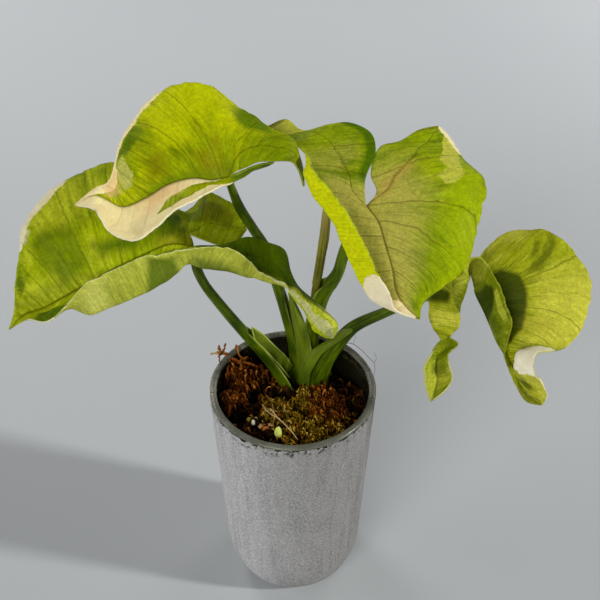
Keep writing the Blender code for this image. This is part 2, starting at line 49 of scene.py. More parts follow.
def curveThrough(points, steps, closed=False):
    # centripetal curve through the points, with `steps` stretches between each two
    points = np.asarray(points, dtype=float)
    if closed:
        run = np.vstack([points[-1], points, points[0], points[1]])
    else:
        run = np.vstack([2 * points[0] - points[1], points, 2 * points[-1] - points[-2]])
    spans = np.linalg.norm(np.diff(run, axis=0), axis=1)
    knots = np.concatenate([[0.0], np.cumsum(np.sqrt(np.maximum(spans, 1e-6)))])
    curve = []
    for i in range(1, len(run) - 2):
        k0, k1, k2, k3 = knots[i - 1:i + 3]
        p0, p1, p2, p3 = run[i - 1:i + 3]
        for k in np.linspace(k1, k2, steps, endpoint=False):
            a1 = (k1 - k) / (k1 - k0) * p0 + (k - k0) / (k1 - k0) * p1
            a2 = (k2 - k) / (k2 - k1) * p1 + (k - k1) / (k2 - k1) * p2
            a3 = (k3 - k) / (k3 - k2) * p2 + (k - k2) / (k3 - k2) * p3
            b1 = (k2 - k) / (k2 - k0) * a1 + (k - k0) / (k2 - k0) * a2
            b2 = (k3 - k) / (k3 - k1) * a2 + (k - k1) / (k3 - k1) * a3
            curve.append((k2 - k) / (k2 - k1) * b1 + (k - k1) / (k2 - k1) * b2)
    if not closed:
        curve.append(run[-2])
    return np.array(curve)


tubeForms = {}


def tubeForm(sides, steps):
    # a plain closed tube, and for each vertex its place round and along it
    if (sides, steps) not in tubeForms:
        bm = bmesh.new()
        bmesh.ops.create_cone(bm, cap_ends=True, segments=sides, radius1=1, radius2=1, depth=1)
        upright = [e for e in bm.edges if abs(e.verts[0].co.z - e.verts[1].co.z) > 0.5]
        bmesh.ops.subdivide_edges(bm, edges=upright, cuts=steps - 1, use_grid_fill=True)
        bm.verts.ensure_lookup_table()
        first = math.atan2(bm.verts[0].co.y, bm.verts[0].co.x)
        places = []
        for vert in bm.verts:
            turn = (math.atan2(vert.co.y, vert.co.x) - first) / (2 * math.pi)
            places.append((round((vert.co.z + 0.5) * steps), round(turn * sides) % sides))
        mesh = bpy.data.meshes.new("tubeForm")
        bm.to_mesh(mesh)
        bm.free()
        tubeForms[sides, steps] = (mesh, places)
    return tubeForms[sides, steps]


def addTube(bm, rings, marks=None):
    # a closed tube through rings of equal count; marks are values for its vertices
    mesh, places = tubeForm(len(rings[0]), len(rings) - 1)
    start = len(bm.verts)
    bm.from_mesh(mesh)
    bm.verts.ensure_lookup_table()
    for offset, (level, place) in enumerate(places):
        vert = bm.verts[start + offset]
        vert.co = rings[level][place]
        for layer, values in (marks or {}).items():
            vert[layer] = float(values[level][place]) if np.ndim(values) == 2 else float(values)
    return start


def roundRings(route, radii, sides, flat=1.0, firstSide=(0.3, 0.2, 1.0)):
    # round or flattened rings square across a route
    route = np.asarray(route, dtype=float)
    ahead = np.gradient(route, axis=0)
    ahead /= np.linalg.norm(ahead, axis=1)[:, None]
    side = np.array(firstSide, dtype=float)
    turns = np.linspace(0, 2 * math.pi, sides, endpoint=False)
    rings = []
    for centre, way, radius in zip(route, ahead, radii):
        side = side - (side @ way) * way
        side /= np.linalg.norm(side)
        out = np.cross(way, side)
        rings.append(centre + radius * (np.cos(turns)[:, None] * side
                                        + flat * np.sin(turns)[:, None] * out))
    return rings


def laySheet(bm, points, layers, marks, uvAt):
    # a grid of faces laid over rows of points; marks are values for its vertices
    rows, columns = points.shape[0] - 1, points.shape[1] - 1
    grid = bmesh.ops.create_grid(bm, x_segments=columns, y_segments=rows, size=1.0)
    unwrapped = bm.loops.layers.uv.verify()
    for vert in grid["verts"]:
        i, j = round((vert.co.y + 1) / 2 * rows), round((vert.co.x + 1) / 2 * columns)
        for loop in vert.link_loops:
            loop[unwrapped].uv = uvAt(i / rows, j / columns)
        vert.co = points[i, j]
        for kind, layer in layers.items():
            vert[layer] = float(marks[kind][i, j])
    return {face for vert in grid["verts"] for face in vert.link_faces}


def spin(bm, profile, steps):
    # a wall turned about Z, from a profile that starts and ends on the axis
    verts = [bm.verts.new((radius, 0.0, height)) for radius, height in profile]
    edges = [bm.edges.new(pair) for pair in zip(verts, verts[1:])]
    bmesh.ops.spin(bm, geom=verts + edges, cent=(0, 0, 0), axis=(0, 0, 1),
                   angle=2 * math.pi, steps=steps, use_merge=True)
    bmesh.ops.remove_doubles(bm, verts=bm.verts, dist=0.02 * mm)
    bmesh.ops.recalc_face_normals(bm, faces=bm.faces)


def makePiece(name, bm, materials, nodes):
    mesh = bpy.data.meshes.new(name)
    bm.to_mesh(mesh)
    bm.free()
    for material in materials:
        mesh.materials.append(material)
    mesh.shade_smooth()
    piece = bpy.data.objects.new(name, mesh)
    scene.collection.objects.link(piece)
    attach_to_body(piece, "root")
    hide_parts(*nodes)
    return piece


def thicken(piece, thickness):
    skin = piece.modifiers.new("thickness", "SOLIDIFY")
    skin.thickness = thickness
    skin.offset = 0.0
    return skin


def dressNode(name, material):
    # a new material for a solid that stays
    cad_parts[name].data.materials.clear()
    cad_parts[name].data.materials.append(material)


# Shared ways of making materials

def put(tree, kind, feed=None, **settings):
    node = tree.nodes.new("ShaderNode" + kind)
    for key, value in settings.items():
        setattr(node, key, value)
    for key, value in (feed or {}).items():
        if isinstance(value, bpy.types.NodeSocket):
            tree.links.new(value, node.inputs[key])
        else:
            node.inputs[key].default_value = value
    return node


def calc(tree, operation, a, b=0.0, c=0.0):
    return put(tree, "Math", {0: a, 1: b, 2: c}, operation=operation).outputs[0]


def plus(tree, a, b):
    return calc(tree, "ADD", a, b)


def less(tree, a, b):
    return calc(tree, "SUBTRACT", a, b)


def times(tree, a, b):
    return calc(tree, "MULTIPLY", a, b)


def ramp(tree, value, low, high, start=0.0, end=1.0):
    feed = {"Value": value, "From Min": low, "From Max": high, "To Min": start, "To Max": end}
    return put(tree, "MapRange", feed, interpolation_type="SMOOTHSTEP").outputs["Result"]


def mixColour(tree, share, a, b, kind="MIX"):
    node = put(tree, "Mix", data_type="RGBA", blend_type=kind, clamp_factor=True)
    for index, value in ((0, share), (6, a), (7, b)):
        if isinstance(value, bpy.types.NodeSocket):
            tree.links.new(value, node.inputs[index])
        else:
            node.inputs[index].default_value = value
    return node.outputs[2]


def attribute(tree, name):
    return put(tree, "Attribute", attribute_type="GEOMETRY", attribute_name=name).outputs["Fac"]


def noiseAt(tree, vector, scale, detail=3.0, roughness=0.55, distortion=0.0):
    feed = {"Vector": vector, "Scale": scale, "Detail": detail, "Roughness": roughness,
            "Distortion": distortion}
    return put(tree, "TexNoise", feed).outputs["Fac"]


def newGroup(name, inputs, outputs):
    tree = bpy.data.node_groups.new(name, "ShaderNodeTree")
    for label, value in inputs.items():
        kind = "NodeSocketColor" if isinstance(value, tuple) else "NodeSocketFloat"
        tree.interface.new_socket(name=label, in_out="INPUT", socket_type=kind).default_value = value
    for label, kind in outputs.items():
        tree.interface.new_socket(name=label, in_out="OUTPUT", socket_type="NodeSocket" + kind)
    given = tree.nodes.new("NodeGroupInput").outputs
    made = tree.nodes.new("NodeGroupOutput").inputs
    return tree, given, made


def rgb(red, green, blue):
    # a colour as it looks on a screen, from 0 to 255
    def linear(level):
        level /= 255
        return level / 12.92 if level <= 0.04045 else ((level + 0.055) / 1.055) ** 2.4
    return (linear(red), linear(green), linear(blue), 1.0)


def finishWith(name, group, values, shine, bumpDistance, bumpStrength=1.0):
    # a material whose colour, roughness and relief come from one group
    material = bpy.data.materials.new(name)
    material.use_nodes = True
    tree = material.node_tree
    node = put(tree, "Group", node_tree=group)
    for label, value in values.items():
        node.inputs[label].default_value = value
    bump = put(tree, "Bump", {"Height": node.outputs["Height"], "Strength": bumpStrength,
                              "Distance": bumpDistance})
    shader = tree.nodes["Principled BSDF"]
    for label, value in shine.items():
        shader.inputs[label].default_value = value
    tree.links.new(node.outputs["Colour"], shader.inputs["Base Color"])
    tree.links.new(node.outputs["Roughness"], shader.inputs["Roughness"])
    tree.links.new(bump.outputs["Normal"], shader.inputs["Normal"])
    return material


# Leaves

leafShared = {
    "thickness": 0.7 * mm,
    "columns": 48,
    "rowSteps": 9,
    "rowsAcross": 5.0,       # how many rows a half is wide
    "ribSink": 0.35 * mm,
    "quilt": 0.4 * mm,
    "wave": 0.45 * mm,
}

# A half's rows run from the lobe's tip to the blade's tip, each from the rib to the margin, in mm. A
# patch has a kind, how soft its edge is, its strength, and an outline of rows and shares of the width.
# Dark patches paint darker leaf colour and also painted shade: shadows cast by other leaves and folds,
# and shade in creases and hollows. Light patches paint paler leaf colour and also painted light on lit
# folds and on places the lamps leave too dark.
leafA = {
    "node": "blade_a", "slot": "leaf_yellow_green", "upper": 1, "up": (0.0, -0.5, 0.85),
    "rib": [(-23, 0.5, 216.5), (-28.5, -2, 217), (-35.5, -3, 218.5), (-44, -6, 218), (-52, -10, 215),
            (-60.5, -12, 212.5), (-65.5, -12, 215.5), (-69.5, -12, 217.5), (-77.5, -11, 212.5)],
    "far": {
        "arch": 0.09,
        "lobe": [
            [(4.5, 6.5, 208)], [(2.5, 6.5, 215.2), (3.6, 13, 211.8)], [(0.5, 7.5, 218), (2.3, 15, 217.3)],
            [(-2.2, 7, 219), (0.5, 18, 221)], [(-7, 6, 219.5), (-8, 21.5, 223.5)],
            [(-12, 5, 220), (-13.5, 25, 226)], [(-16.5, 3, 219), (-19.5, 27.5, 228.5)],
            [(-20, 2, 218), (-26, 31, 232.5)],
        ],
        "blade": [
            [(-33, 32.5, 236)], [(-42, 30.5, 237)], [(-51, 26, 234.5)], [(-58, 18.5, 229)],
            [(-63, 10, 224)], [(-64, 1.5, 220.5)], [(-66, -7, 219)], [(-69, -8.5, 218.5)],
        ],
        "laterals": [3.2, 4.6, 6.0, 7.3, 8.5, 9.6, 10.7, 11.8, 12.9, 14.0, 15.0],
        "lean": [(0, 3.0), (6, 2.8), (8, 0.4), (9, -0.9), (11, -1.5), (13, -1.2), (16, -1.5)],
        "lobeVein": [(0.3, 0.5), (3, 0.4), (6, 0.25), (8, 0.0)],
        "patches": [
            ("dark", 1.6, 0.45, [(-1, -0.2), (-1, 1.2), (3.6, 1.2), (4.6, 0.7), (6.2, 0.3), (6.8, -0.2)]),
            # painted shade in the crease along the rib
            ("dark", 0.8, 0.6, [(7.0, -0.2), (7.3, 0.15), (12, 0.1), (13, -0.2)]),
            ("dark", 0.5, 0.8, [(11.1, 0.72), (11.9, 0.7), (12.6, 0.9), (11.3, 0.92)]),
            ("olive", 0.8, 0.45, [(10.5, 0.5), (11.3, 0.45), (11.3, 0.62), (10.8, 0.7)]),
            ("light", 0.8, 0.9, [(9.2, 0.35), (10.7, 0.35), (10.9, 0.95), (9.6, 0.95)]),
            ("light", 0.6, 0.6, [(12.0, 0.2), (12.9, 0.25), (13.0, 0.55), (12.2, 0.6)]),
            ("dark", 0.8, 0.75, [(3.9, 0.72), (4.0, 1.3), (5.4, 1.3), (6.7, 0.8), (6.4, 0.6),
                                 (5.0, 0.58)]),
            ("olive", 0.8, 0.9, [(10.8, 0.1), (11.6, 0.12), (11.4, 0.42), (10.6, 0.4)]),
            ("olive", 0.8, 0.8, [(8.4, 0.05), (9.4, 0.05), (9.8, 0.28), (8.6, 0.28)]),
            ("olive", 0.6, 0.7, [(7.9, 0.0), (8.5, 0.0), (8.6, 0.4), (8.0, 0.4)]),
            ("light", 1.6, 0.8, [(6.0, 0.5), (7.0, 0.4), (10, 0.6), (10.3, 1.2), (5.6, 1.2)]),
            ("pale", 0.6, 1.0, [(12.0, 0.42), (12.15, 0.78), (12.8, 0.82), (12.95, 0.6), (12.7, 0.28),
                                (12.3, 0.25)]),
            ("cream", 0.6, 1.0, [(9.4, 1.0), (10.0, 0.955), (12.0, 0.93), (12.9, 0.86), (13.0, 0.6),
                                 (13.4, 0.45), (14.3, 0.3), (16.5, -0.2), (16.5, 1.3), (9.4, 1.3)]),
            ("pink", 0.9, 0.8, [(12.9, 0.3), (14.2, 0.15), (14.4, 0.9), (12.9, 0.95)]),
            ("green", 0.3, 1.0, [(13.3, 0.3), (13.5, 0.42), (14.3, 0.4), (14.1, 0.22)]),
        ],
    },
    "near": {
        "arch": -0.08,
        "lobe": [
            [(-6.5, 7, 218)], [(-10, 6.8, 218), (-9, 9, 215.5)],
            [(-14.5, 5.5, 217.5), (-13.5, 9.5, 213.5)], [(-19, 3, 216.5), (-18, 6, 212.5)],
        ],
        "blade": [
            [(-22, -1, 214.5)], [(-28.5, -12.5, 220)], [(-33.5, -18, 220)], [(-40.5, -22.5, 219)],
            [(-46.5, -28, 216)], [(-54, -31.5, 213)], [(-63, -27.5, 213.5)], [(-68.5, -19.5, 216.5)],
        ],
        "laterals": [1.5, 2.8, 4.2, 5.4, 6.6, 7.8, 9.0, 10.2, 11.3],
        "lean": [(0, 0.5), (4, 0.5), (8, -0.9), (12, -1.5)],
        "lobeVein": [(0.3, 0.5), (4, 0.0)],
        "patches": [
            ("dark", 1.2, 0.8, [(-1, -0.2), (-1, 1.2), (4.0, 1.2), (4.2, -0.2)]),
            ("cream", 0.6, 1.0, [(4.4, -0.3), (4.4, 0.05), (5.0, 0.3), (4.6, 0.7), (3.9, 0.9), (3.9, 1.3),
                                 (13, 1.3), (13, -0.3)]),
            ("green", 0.5, 1.0, [(7.8, 0.58), (7.3, 0.4), (6.4, 0.3), (5.0, 0.12), (5.1, 0.36),
                                 (6.1, 0.66), (7.1, 0.74)]),
            ("pink", 1.4, 0.9, [(6.2, -0.1), (8.6, -0.1), (8.3, 0.4), (6.6, 0.35)]),
            ("olive", 0.9, 0.7, [(4.6, -0.1), (6.3, -0.1), (6.2, 0.3), (5.2, 0.3)]),
            ("olive", 0.35, 0.8, [(7.6, -0.2), (10.4, -0.2), (10.2, 0.07), (7.8, 0.07)]),
        ],
    },
}

leafB = {
    "node": "blade_b", "slot": "leaf_green", "upper": 1, "up": (0.0, -0.6, 0.8),
    "rib": [(-37.5, 0.5, 184.5), (-46, -1, 186.5), (-55.5, -4, 184), (-65.5, -8, 181), (-75, -11.5, 177),
            (-85, -14.5, 172.5), (-93, -16.5, 168.5), (-100.5, -17.5, 166), (-104, -19.5, 164),
            (-107, -21.5, 161.5)],
    "far": {
        "arch": 0.08,
        "lobe": [
            [(-17.5, 12, 183)], [(-22.5, 6, 180.5), (-20.5, 19, 187.5)],
            [(-28, 4.5, 181.5), (-26, 23, 189)], [(-33, 4, 184), (-33, 25, 191)],
            [(-36, 4, 185.5), (-38.5, 20.5, 188)], [(-39, 4.5, 186.5), (-42, 18.5, 187)],
        ],
        "blade": [
            [(-49.5, 21.5, 189)], [(-59.5, 28.5, 195)], [(-71, 32.5, 200)], [(-82, 29.5, 197.5)],
            [(-94, 22, 194)], [(-102.5, 11, 187.5)], [(-104, 1, 181)], [(-105, -9.5, 172)],
            [(-105, -16, 166)],
        ],
        "laterals": [0.8, 1.8, 2.8, 3.9, 5.2, 6.5, 7.7, 8.8, 9.9, 11.0, 12.1, 13.2, 14.2],
        "lean": [(0, 0.6), (6, 1.3), (9, 0.4), (12, -0.8), (15, -1.6)],
        "lobeVein": [(0.4, 0.5), (3, 0.32), (5, 0.05), (6, 0.0)],
        "patches": [
            ("dark", 1.2, 0.3, [(-1, -0.3), (-1, 1.3), (5.4, 1.3), (5.9, 0.5), (5.2, -0.3)]),
            ("olive", 0.8, 0.6, [(1, 0.35), (3.5, 0.35), (3.5, 0.8), (1, 0.8)]),
            ("dark", 1.0, 0.75, [(4.4, 0.7), (5.6, 0.42), (6.4, 0.32), (7.8, 0.2), (8.0, 0.08),
                                 (6.8, 0.07), (6.0, 0.2), (4.8, 0.5)]),
            ("dark", 0.9, 0.85, [(9.6, 0.3), (9.4, 0.12), (8.0, 0.06), (7.6, 0.2), (8.8, 0.26)]),
            ("dark", 0.6, 1.0, [(5.6, 0.75), (5.8, 0.5), (6.3, 0.35), (6.6, 0.12), (7.4, 0.05),
                                (7.3, 0.3), (6.6, 0.45), (6.2, 0.6)]),
            ("dark", 0.6, 0.6, [(2.9, 0.3), (3.6, 0.35), (5.9, 0.45), (5.6, 0.95), (3.8, 0.75),
                                (3.5, 1.0), (2.9, 0.95)]),
            ("dark", 0.5, 0.6, [(5.2, 0.95), (5.3, 0.66), (5.8, 0.66), (5.7, 0.95)]),
            ("light", 0.5, 0.5, [(3.9, 0.78), (4.6, 0.75), (4.8, 1.0), (3.9, 1.0)]),
            ("light", 1.0, 0.6, [(6.4, 0.5), (7.8, 0.6), (7.9, 0.95), (6.5, 0.9)]),
            ("light", 0.8, 0.5, [(-1, -0.3), (3.0, -0.3), (3.0, 0.25), (-1, 0.5)]),
            ("dark", 0.7, 0.6, [(10.9, 0.75), (11.3, 0.75), (11.3, 0.4), (10.9, 0.1), (9.7, 0.1),
                                (9.6, 0.5), (10.3, 0.66)]),
            ("dark", 0.5, 0.7, [(12.2, 0.55), (12.9, 0.45), (13.0, 0.9), (12.3, 0.9)]),
            ("light", 0.6, 0.8, [(11.4, 0.58), (11.9, 0.6), (11.9, 0.88), (11.4, 0.86)]),
            ("dark", 0.9, 0.5, [(12.9, 0.4), (13.8, 0.3), (13.8, 0.9), (12.9, 0.95)]),
            ("light", 1.0, 0.7, [(11.4, 0.15), (12.4, 0.15), (12.3, 0.4), (11.8, 0.5)]),
            ("light", 1.4, 0.7, [(9.0, 0.55), (10.4, 0.5), (10.7, 0.9), (9.2, 0.95)]),
            ("pink", 0.8, 0.55, [(5.6, -0.2), (7.8, -0.2), (7.5, 0.14), (6.4, 0.22), (5.6, 0.42),
                                 (5.2, 0.3)]),
            ("cream", 0.4, 1.0, [(9.5, 0.97), (10.2, 0.91), (10.9, 0.93), (11.1, 0.89), (11.7, 0.9),
                                 (12.0, 0.97), (12.0, 1.3), (9.5, 1.3)]),
            ("cream", 0.4, 1.0, [(13.1, 0.93), (13.9, 0.87), (14.2, 1.3), (13.1, 1.3)]),
            ("pale", 0.6, 1.0, [(11.0, 0.84), (11.5, 0.82), (11.6, 0.94), (11.0, 0.94)]),
        ],
    },
    "near": {
        "arch": 0.0,
        "lobe": [
            [(15, -34.5, 169.5)], [(16.5, -32, 170.5), (14, -37, 175.5), (11, -36, 172)],
            [(16.5, -29.5, 172), (13, -37, 178.5), (8.5, -34.5, 172.5)],
            [(12.5, -25, 174), (9.5, -33.5, 179.5), (6.5, -31.5, 174.5)],
            [(7.5, -20.5, 176), (5.5, -28.5, 180.5), (4, -27.5, 177.5)],
            [(2.5, -16, 178), (1, -22.5, 181.5), (-0.5, -23.5, 180.5)],
            [(-0.5, -8.5, 179), (-2, -18.5, 180), (-2.5, -20.5, 183.5)],
            [(-3, 1, 182), (-6.5, -16, 180), (-6, -18, 183.5)],
            [(-9, 3.5, 183.5), (-11, -14.5, 180), (-11.5, -15, 185)],
            [(-17, 5, 185), (-18, -13.5, 181), (-17, -12.5, 189.5)],
            [(-26.5, 1.5, 184), (-26.5, -13, 183.5), (-23.5, -11, 193)],
            [(-34, 0.5, 184.5), (-34, -11, 183.5), (-31, -11.5, 193.5)],
        ],
        "blade": [
            [(-39, -9.5, 184), (-37.5, -12, 193.5)], [(-46.5, -16, 181), (-47, -16, 194.5)],
            [(-55, -21, 179), (-55.5, -19, 194.5)], [(-64.5, -23.5, 176), (-65.5, -21.5, 190.5)],
            [(-74, -25, 172.5), (-74.5, -22.5, 186)], [(-85, -21, 171.5), (-87, -24.5, 171.5)],
            [(-93, -22, 165.5)], [(-99.5, -20, 165)], [(-103.5, -20, 163)],
        ],
        "laterals": [1.6, 3.2, 4.8, 6.4, 8.0, 9.5, 10.9, 12.2, 13.3, 14.4, 15.5, 16.6, 17.7, 18.8, 19.9],
        "lean": [(0, 0.4), (9, 1.0), (13, -0.8), (21, -1.6)],
        "lobeVein": [(0.3, 0.5), (5, 0.5), (9, 0.3), (12, 0.0)],
        "patches": [
            ("dark", 1.5, 1.0, [(3.5, -0.3), (11.5, -0.3), (11.5, 0.75), (8, 0.7), (5, 0.55),
                                (3.5, 0.35)]),
            ("dark", 0.5, 1.0, [(16.9, 0.45), (18.3, 0.3), (18.6, 0.9), (17.0, 1.0)]),
            ("pale", 0.9, 0.8, [(-1, 0.3), (0.6, 0.34), (2.2, 0.5), (4.5, 0.74), (7.2, 0.93), (7.2, 1.05),
                                (5, 0.97), (3, 0.9), (1.4, 0.82), (-1, 0.9)]),
            ("light", 1.0, 0.8, [(-1, -0.2), (3.5, 0.0), (3, 0.5), (-1, 0.4)]),
            ("dark", 0.5, 1.0, [(12.3, 0.1), (13.6, 0.1), (13.9, 0.5), (13.6, 0.98), (12.6, 0.9)]),
            ("light", 0.7, 0.8, [(9.8, 0.3), (11.4, 0.3), (11.6, 0.7), (10.0, 0.7)]),
            # painted shade in the fold across the underside
            ("dark", 0.7, 0.3, [(13.4, 0.35), (14.2, 0.4), (14.4, 0.9), (13.4, 0.9)]),
            ("light", 1.0, 0.8, [(15.2, 0.5), (16.2, 0.5), (16.4, 1.1), (15.2, 1.1)]),
            ("cream", 0.6, 1.0, [(17.2, 0.95), (18.8, 0.9), (19.4, 1.3), (17.2, 1.3)]),
        ],
    },
}

leafC = {
    "node": "blade_c", "slot": "leaf_olive", "upper": -1, "up": (0.0, -0.75, 0.66),
    "rib": [(27.5, -4, 206.5), (31.5, -10, 204), (34, -17, 198.5), (36.5, -22.5, 192), (38, -27.5, 185.5),
            (42, -31, 180.5), (46.5, -32, 176.5)],
    "far": {
        "arch": 0.07,
        "lobe": [
            [(55.5, 30.5, 218.5)], [(47.5, 26, 219.5), (59.5, 26, 216.5)],
            [(40.5, 21, 218), (62, 21.5, 214.5)], [(32.5, 16, 218.5), (64.5, 16, 213)],
            [(29, 6, 213.5), (68.5, 10, 212.5)], [(31, 0, 210), (71, 6.5, 211)],
        ],
        "blade": [
            [(71.5, 1, 207.5)], [(69.5, -4, 204)], [(67, -11.5, 197)], [(63, -18.5, 189)],
            [(54.5, -24, 184.5)], [(47.5, -28.5, 180.5)],
        ],
        "laterals": [1.2, 2.6, 4.2, 5.95, 6.95, 8.0, 9.0, 10.0, 11.0],
        "lean": [(0, 1.6), (4, 1.4), (5.5, 0.2), (6.3, -0.6), (8, -2.0), (12, -2.6)],
        "lobeVein": [(0.3, 0.5), (3.3, 0.42), (4.3, 0.2), (5.3, 0.04), (6, 0.0)],
        "patches": [
            ("olive", 2.2, 0.8, [(3.4, -0.3), (3.4, 0.35), (5.6, 0.55), (8, 0.42), (12, 0.3),
                                 (12, -0.3)]),
            ("light", 1.8, 0.9, [(3.6, 0.9), (5, 0.72), (8, 0.6), (10.2, 0.75), (10, 1.3), (3, 1.3)]),
            ("dark", 0.7, 0.6, [(10.4, 0.1), (11.4, 0.1), (11.2, 0.7), (10.6, 0.5)]),
            ("dark", 0.8, 0.45, [(7.9, 0.08), (9.2, 0.08), (9.1, 0.45), (8.0, 0.5)]),
            ("light", 0.8, 0.5, [(-0.5, -0.3), (2.2, -0.3), (1.8, 0.6), (-0.5, 0.6)]),
            ("dark", 0.3, 0.5, [(2.0, 0.96), (3.6, 0.95), (5.5, 0.97), (5.5, 1.3), (2, 1.3)]),
            ("cream", 0.6, 1.0, [(-0.3, 0.6), (0.5, 0.6), (0.9, 0.72), (1.4, 0.86), (2.2, 0.9),
                                 (2.6, 0.97), (2.6, 1.3), (-0.3, 1.3)]),
            ("pale", 0.6, 1.0, [(1.0, 0.78), (1.9, 0.72), (2.8, 0.74), (3.4, 0.68), (4.0, 0.7),
                                (4.5, 0.58), (5.1, 0.62), (5.2, 0.72), (4.4, 0.82), (3.6, 0.88),
                                (2.8, 0.93), (1.4, 0.9)]),
            ("pink", 0.9, 0.8, [(3.5, 0.42), (4.0, 0.42), (4.7, 0.2), (5.6, 0.08), (5.7, 0.0), (4.8, 0.0),
                                (4.0, 0.22)]),
        ],
    },
    "near": {
        "arch": 0.06,
        "lobe": [
            [(-9.5, 39, 213)], [(-2, 38, 216.5), (-6, 35, 212)], [(3.5, 34.5, 214), (-3, 32.5, 212)],
            [(13, 31, 216.5), (-1, 31, 213)], [(20.5, 29, 221), (0, 27.5, 213.5)],
            [(29.5, 22, 221), (6, 19.5, 215.5), (3, 18, 217)],
            [(31, 14, 218), (11, 13, 215.5), (5.5, 9.5, 217.5), (6.5, 7, 220)],
            [(27, 4, 213), (12, 7, 214.5), (4.5, 1, 217.5), (8, -3.5, 222)],
        ],
        "blade": [
            [(16, -1, 212), (7.5, -6.5, 214.5), (14, -11.5, 219.5)],
            [(20.5, -9, 205.5), (14, -14, 209.5), (20.5, -18.5, 213)],
            [(25.5, -17, 198.5), (19, -21.5, 201), (26.5, -26, 205)],
            [(28.5, -23, 191.5), (23, -26.5, 193.5), (30.5, -31, 197.5)],
            [(33, -28.5, 185), (28.5, -31.5, 186.5), (35.5, -34, 189.5)],
            [(38, -33, 181), (37, -35, 184)],
        ],
        "laterals": [1.0, 2.0, 3.2, 4.4, 5.6, 6.9, 8.15, 8.9, 9.6, 10.3, 11.0, 11.8, 12.7],
        "lean": [(0, 0.6), (6, 0.8), (8, 0.0), (14, -0.6)],
        "lobeVein": [(3.6, 0.62), (4.8, 0.55), (5.4, 0.52), (6.3, 0.37), (7.0, 0.18), (7.7, 0.16),
                     (8.0, 0.0)],
        "patches": [
            ("olive", 1.2, 0.9, [(7.2, -0.3), (7.2, 0.5), (9, 0.5), (12.6, 0.4), (13, -0.3)]),
            ("olive", 1.2, 0.5, [(5.0, 0.25), (6.5, 0.15), (7.4, 0.3), (7.2, 1.1), (5, 1.1)]),
            # painted light beside the rolled margin, lifting the shadow that the roll casts there
            ("light", 0.7, 0.5, [(7.9, 0.12), (11.6, 0.1), (11.6, 0.32), (7.9, 0.34)]),
            ("dark", 0.5, 0.9, [(3.4, -0.3), (3.5, 0.14), (4.6, 0.12), (6.0, 0.13), (7.2, 0.08),
                                (7.6, -0.3)]),
            ("light", 0.8, 1.0, [(-1, -0.3), (3.7, -0.3), (4.0, 0.2), (3.9, 0.55), (-1, 1.3)]),
            ("pale", 0.5, 1.0, [(-1, -0.3), (3.2, -0.3), (3.7, 0.45), (-1, 1.3)]),
            ("cream", 0.6, 1.0, [(11.05, 1.3), (11.15, 0.8), (11.4, 0.66), (11.9, 0.52), (12.3, 0.3),
                                 (12.6, -0.2), (13.8, -0.3), (13.8, 1.3)]),
        ],
    },
}

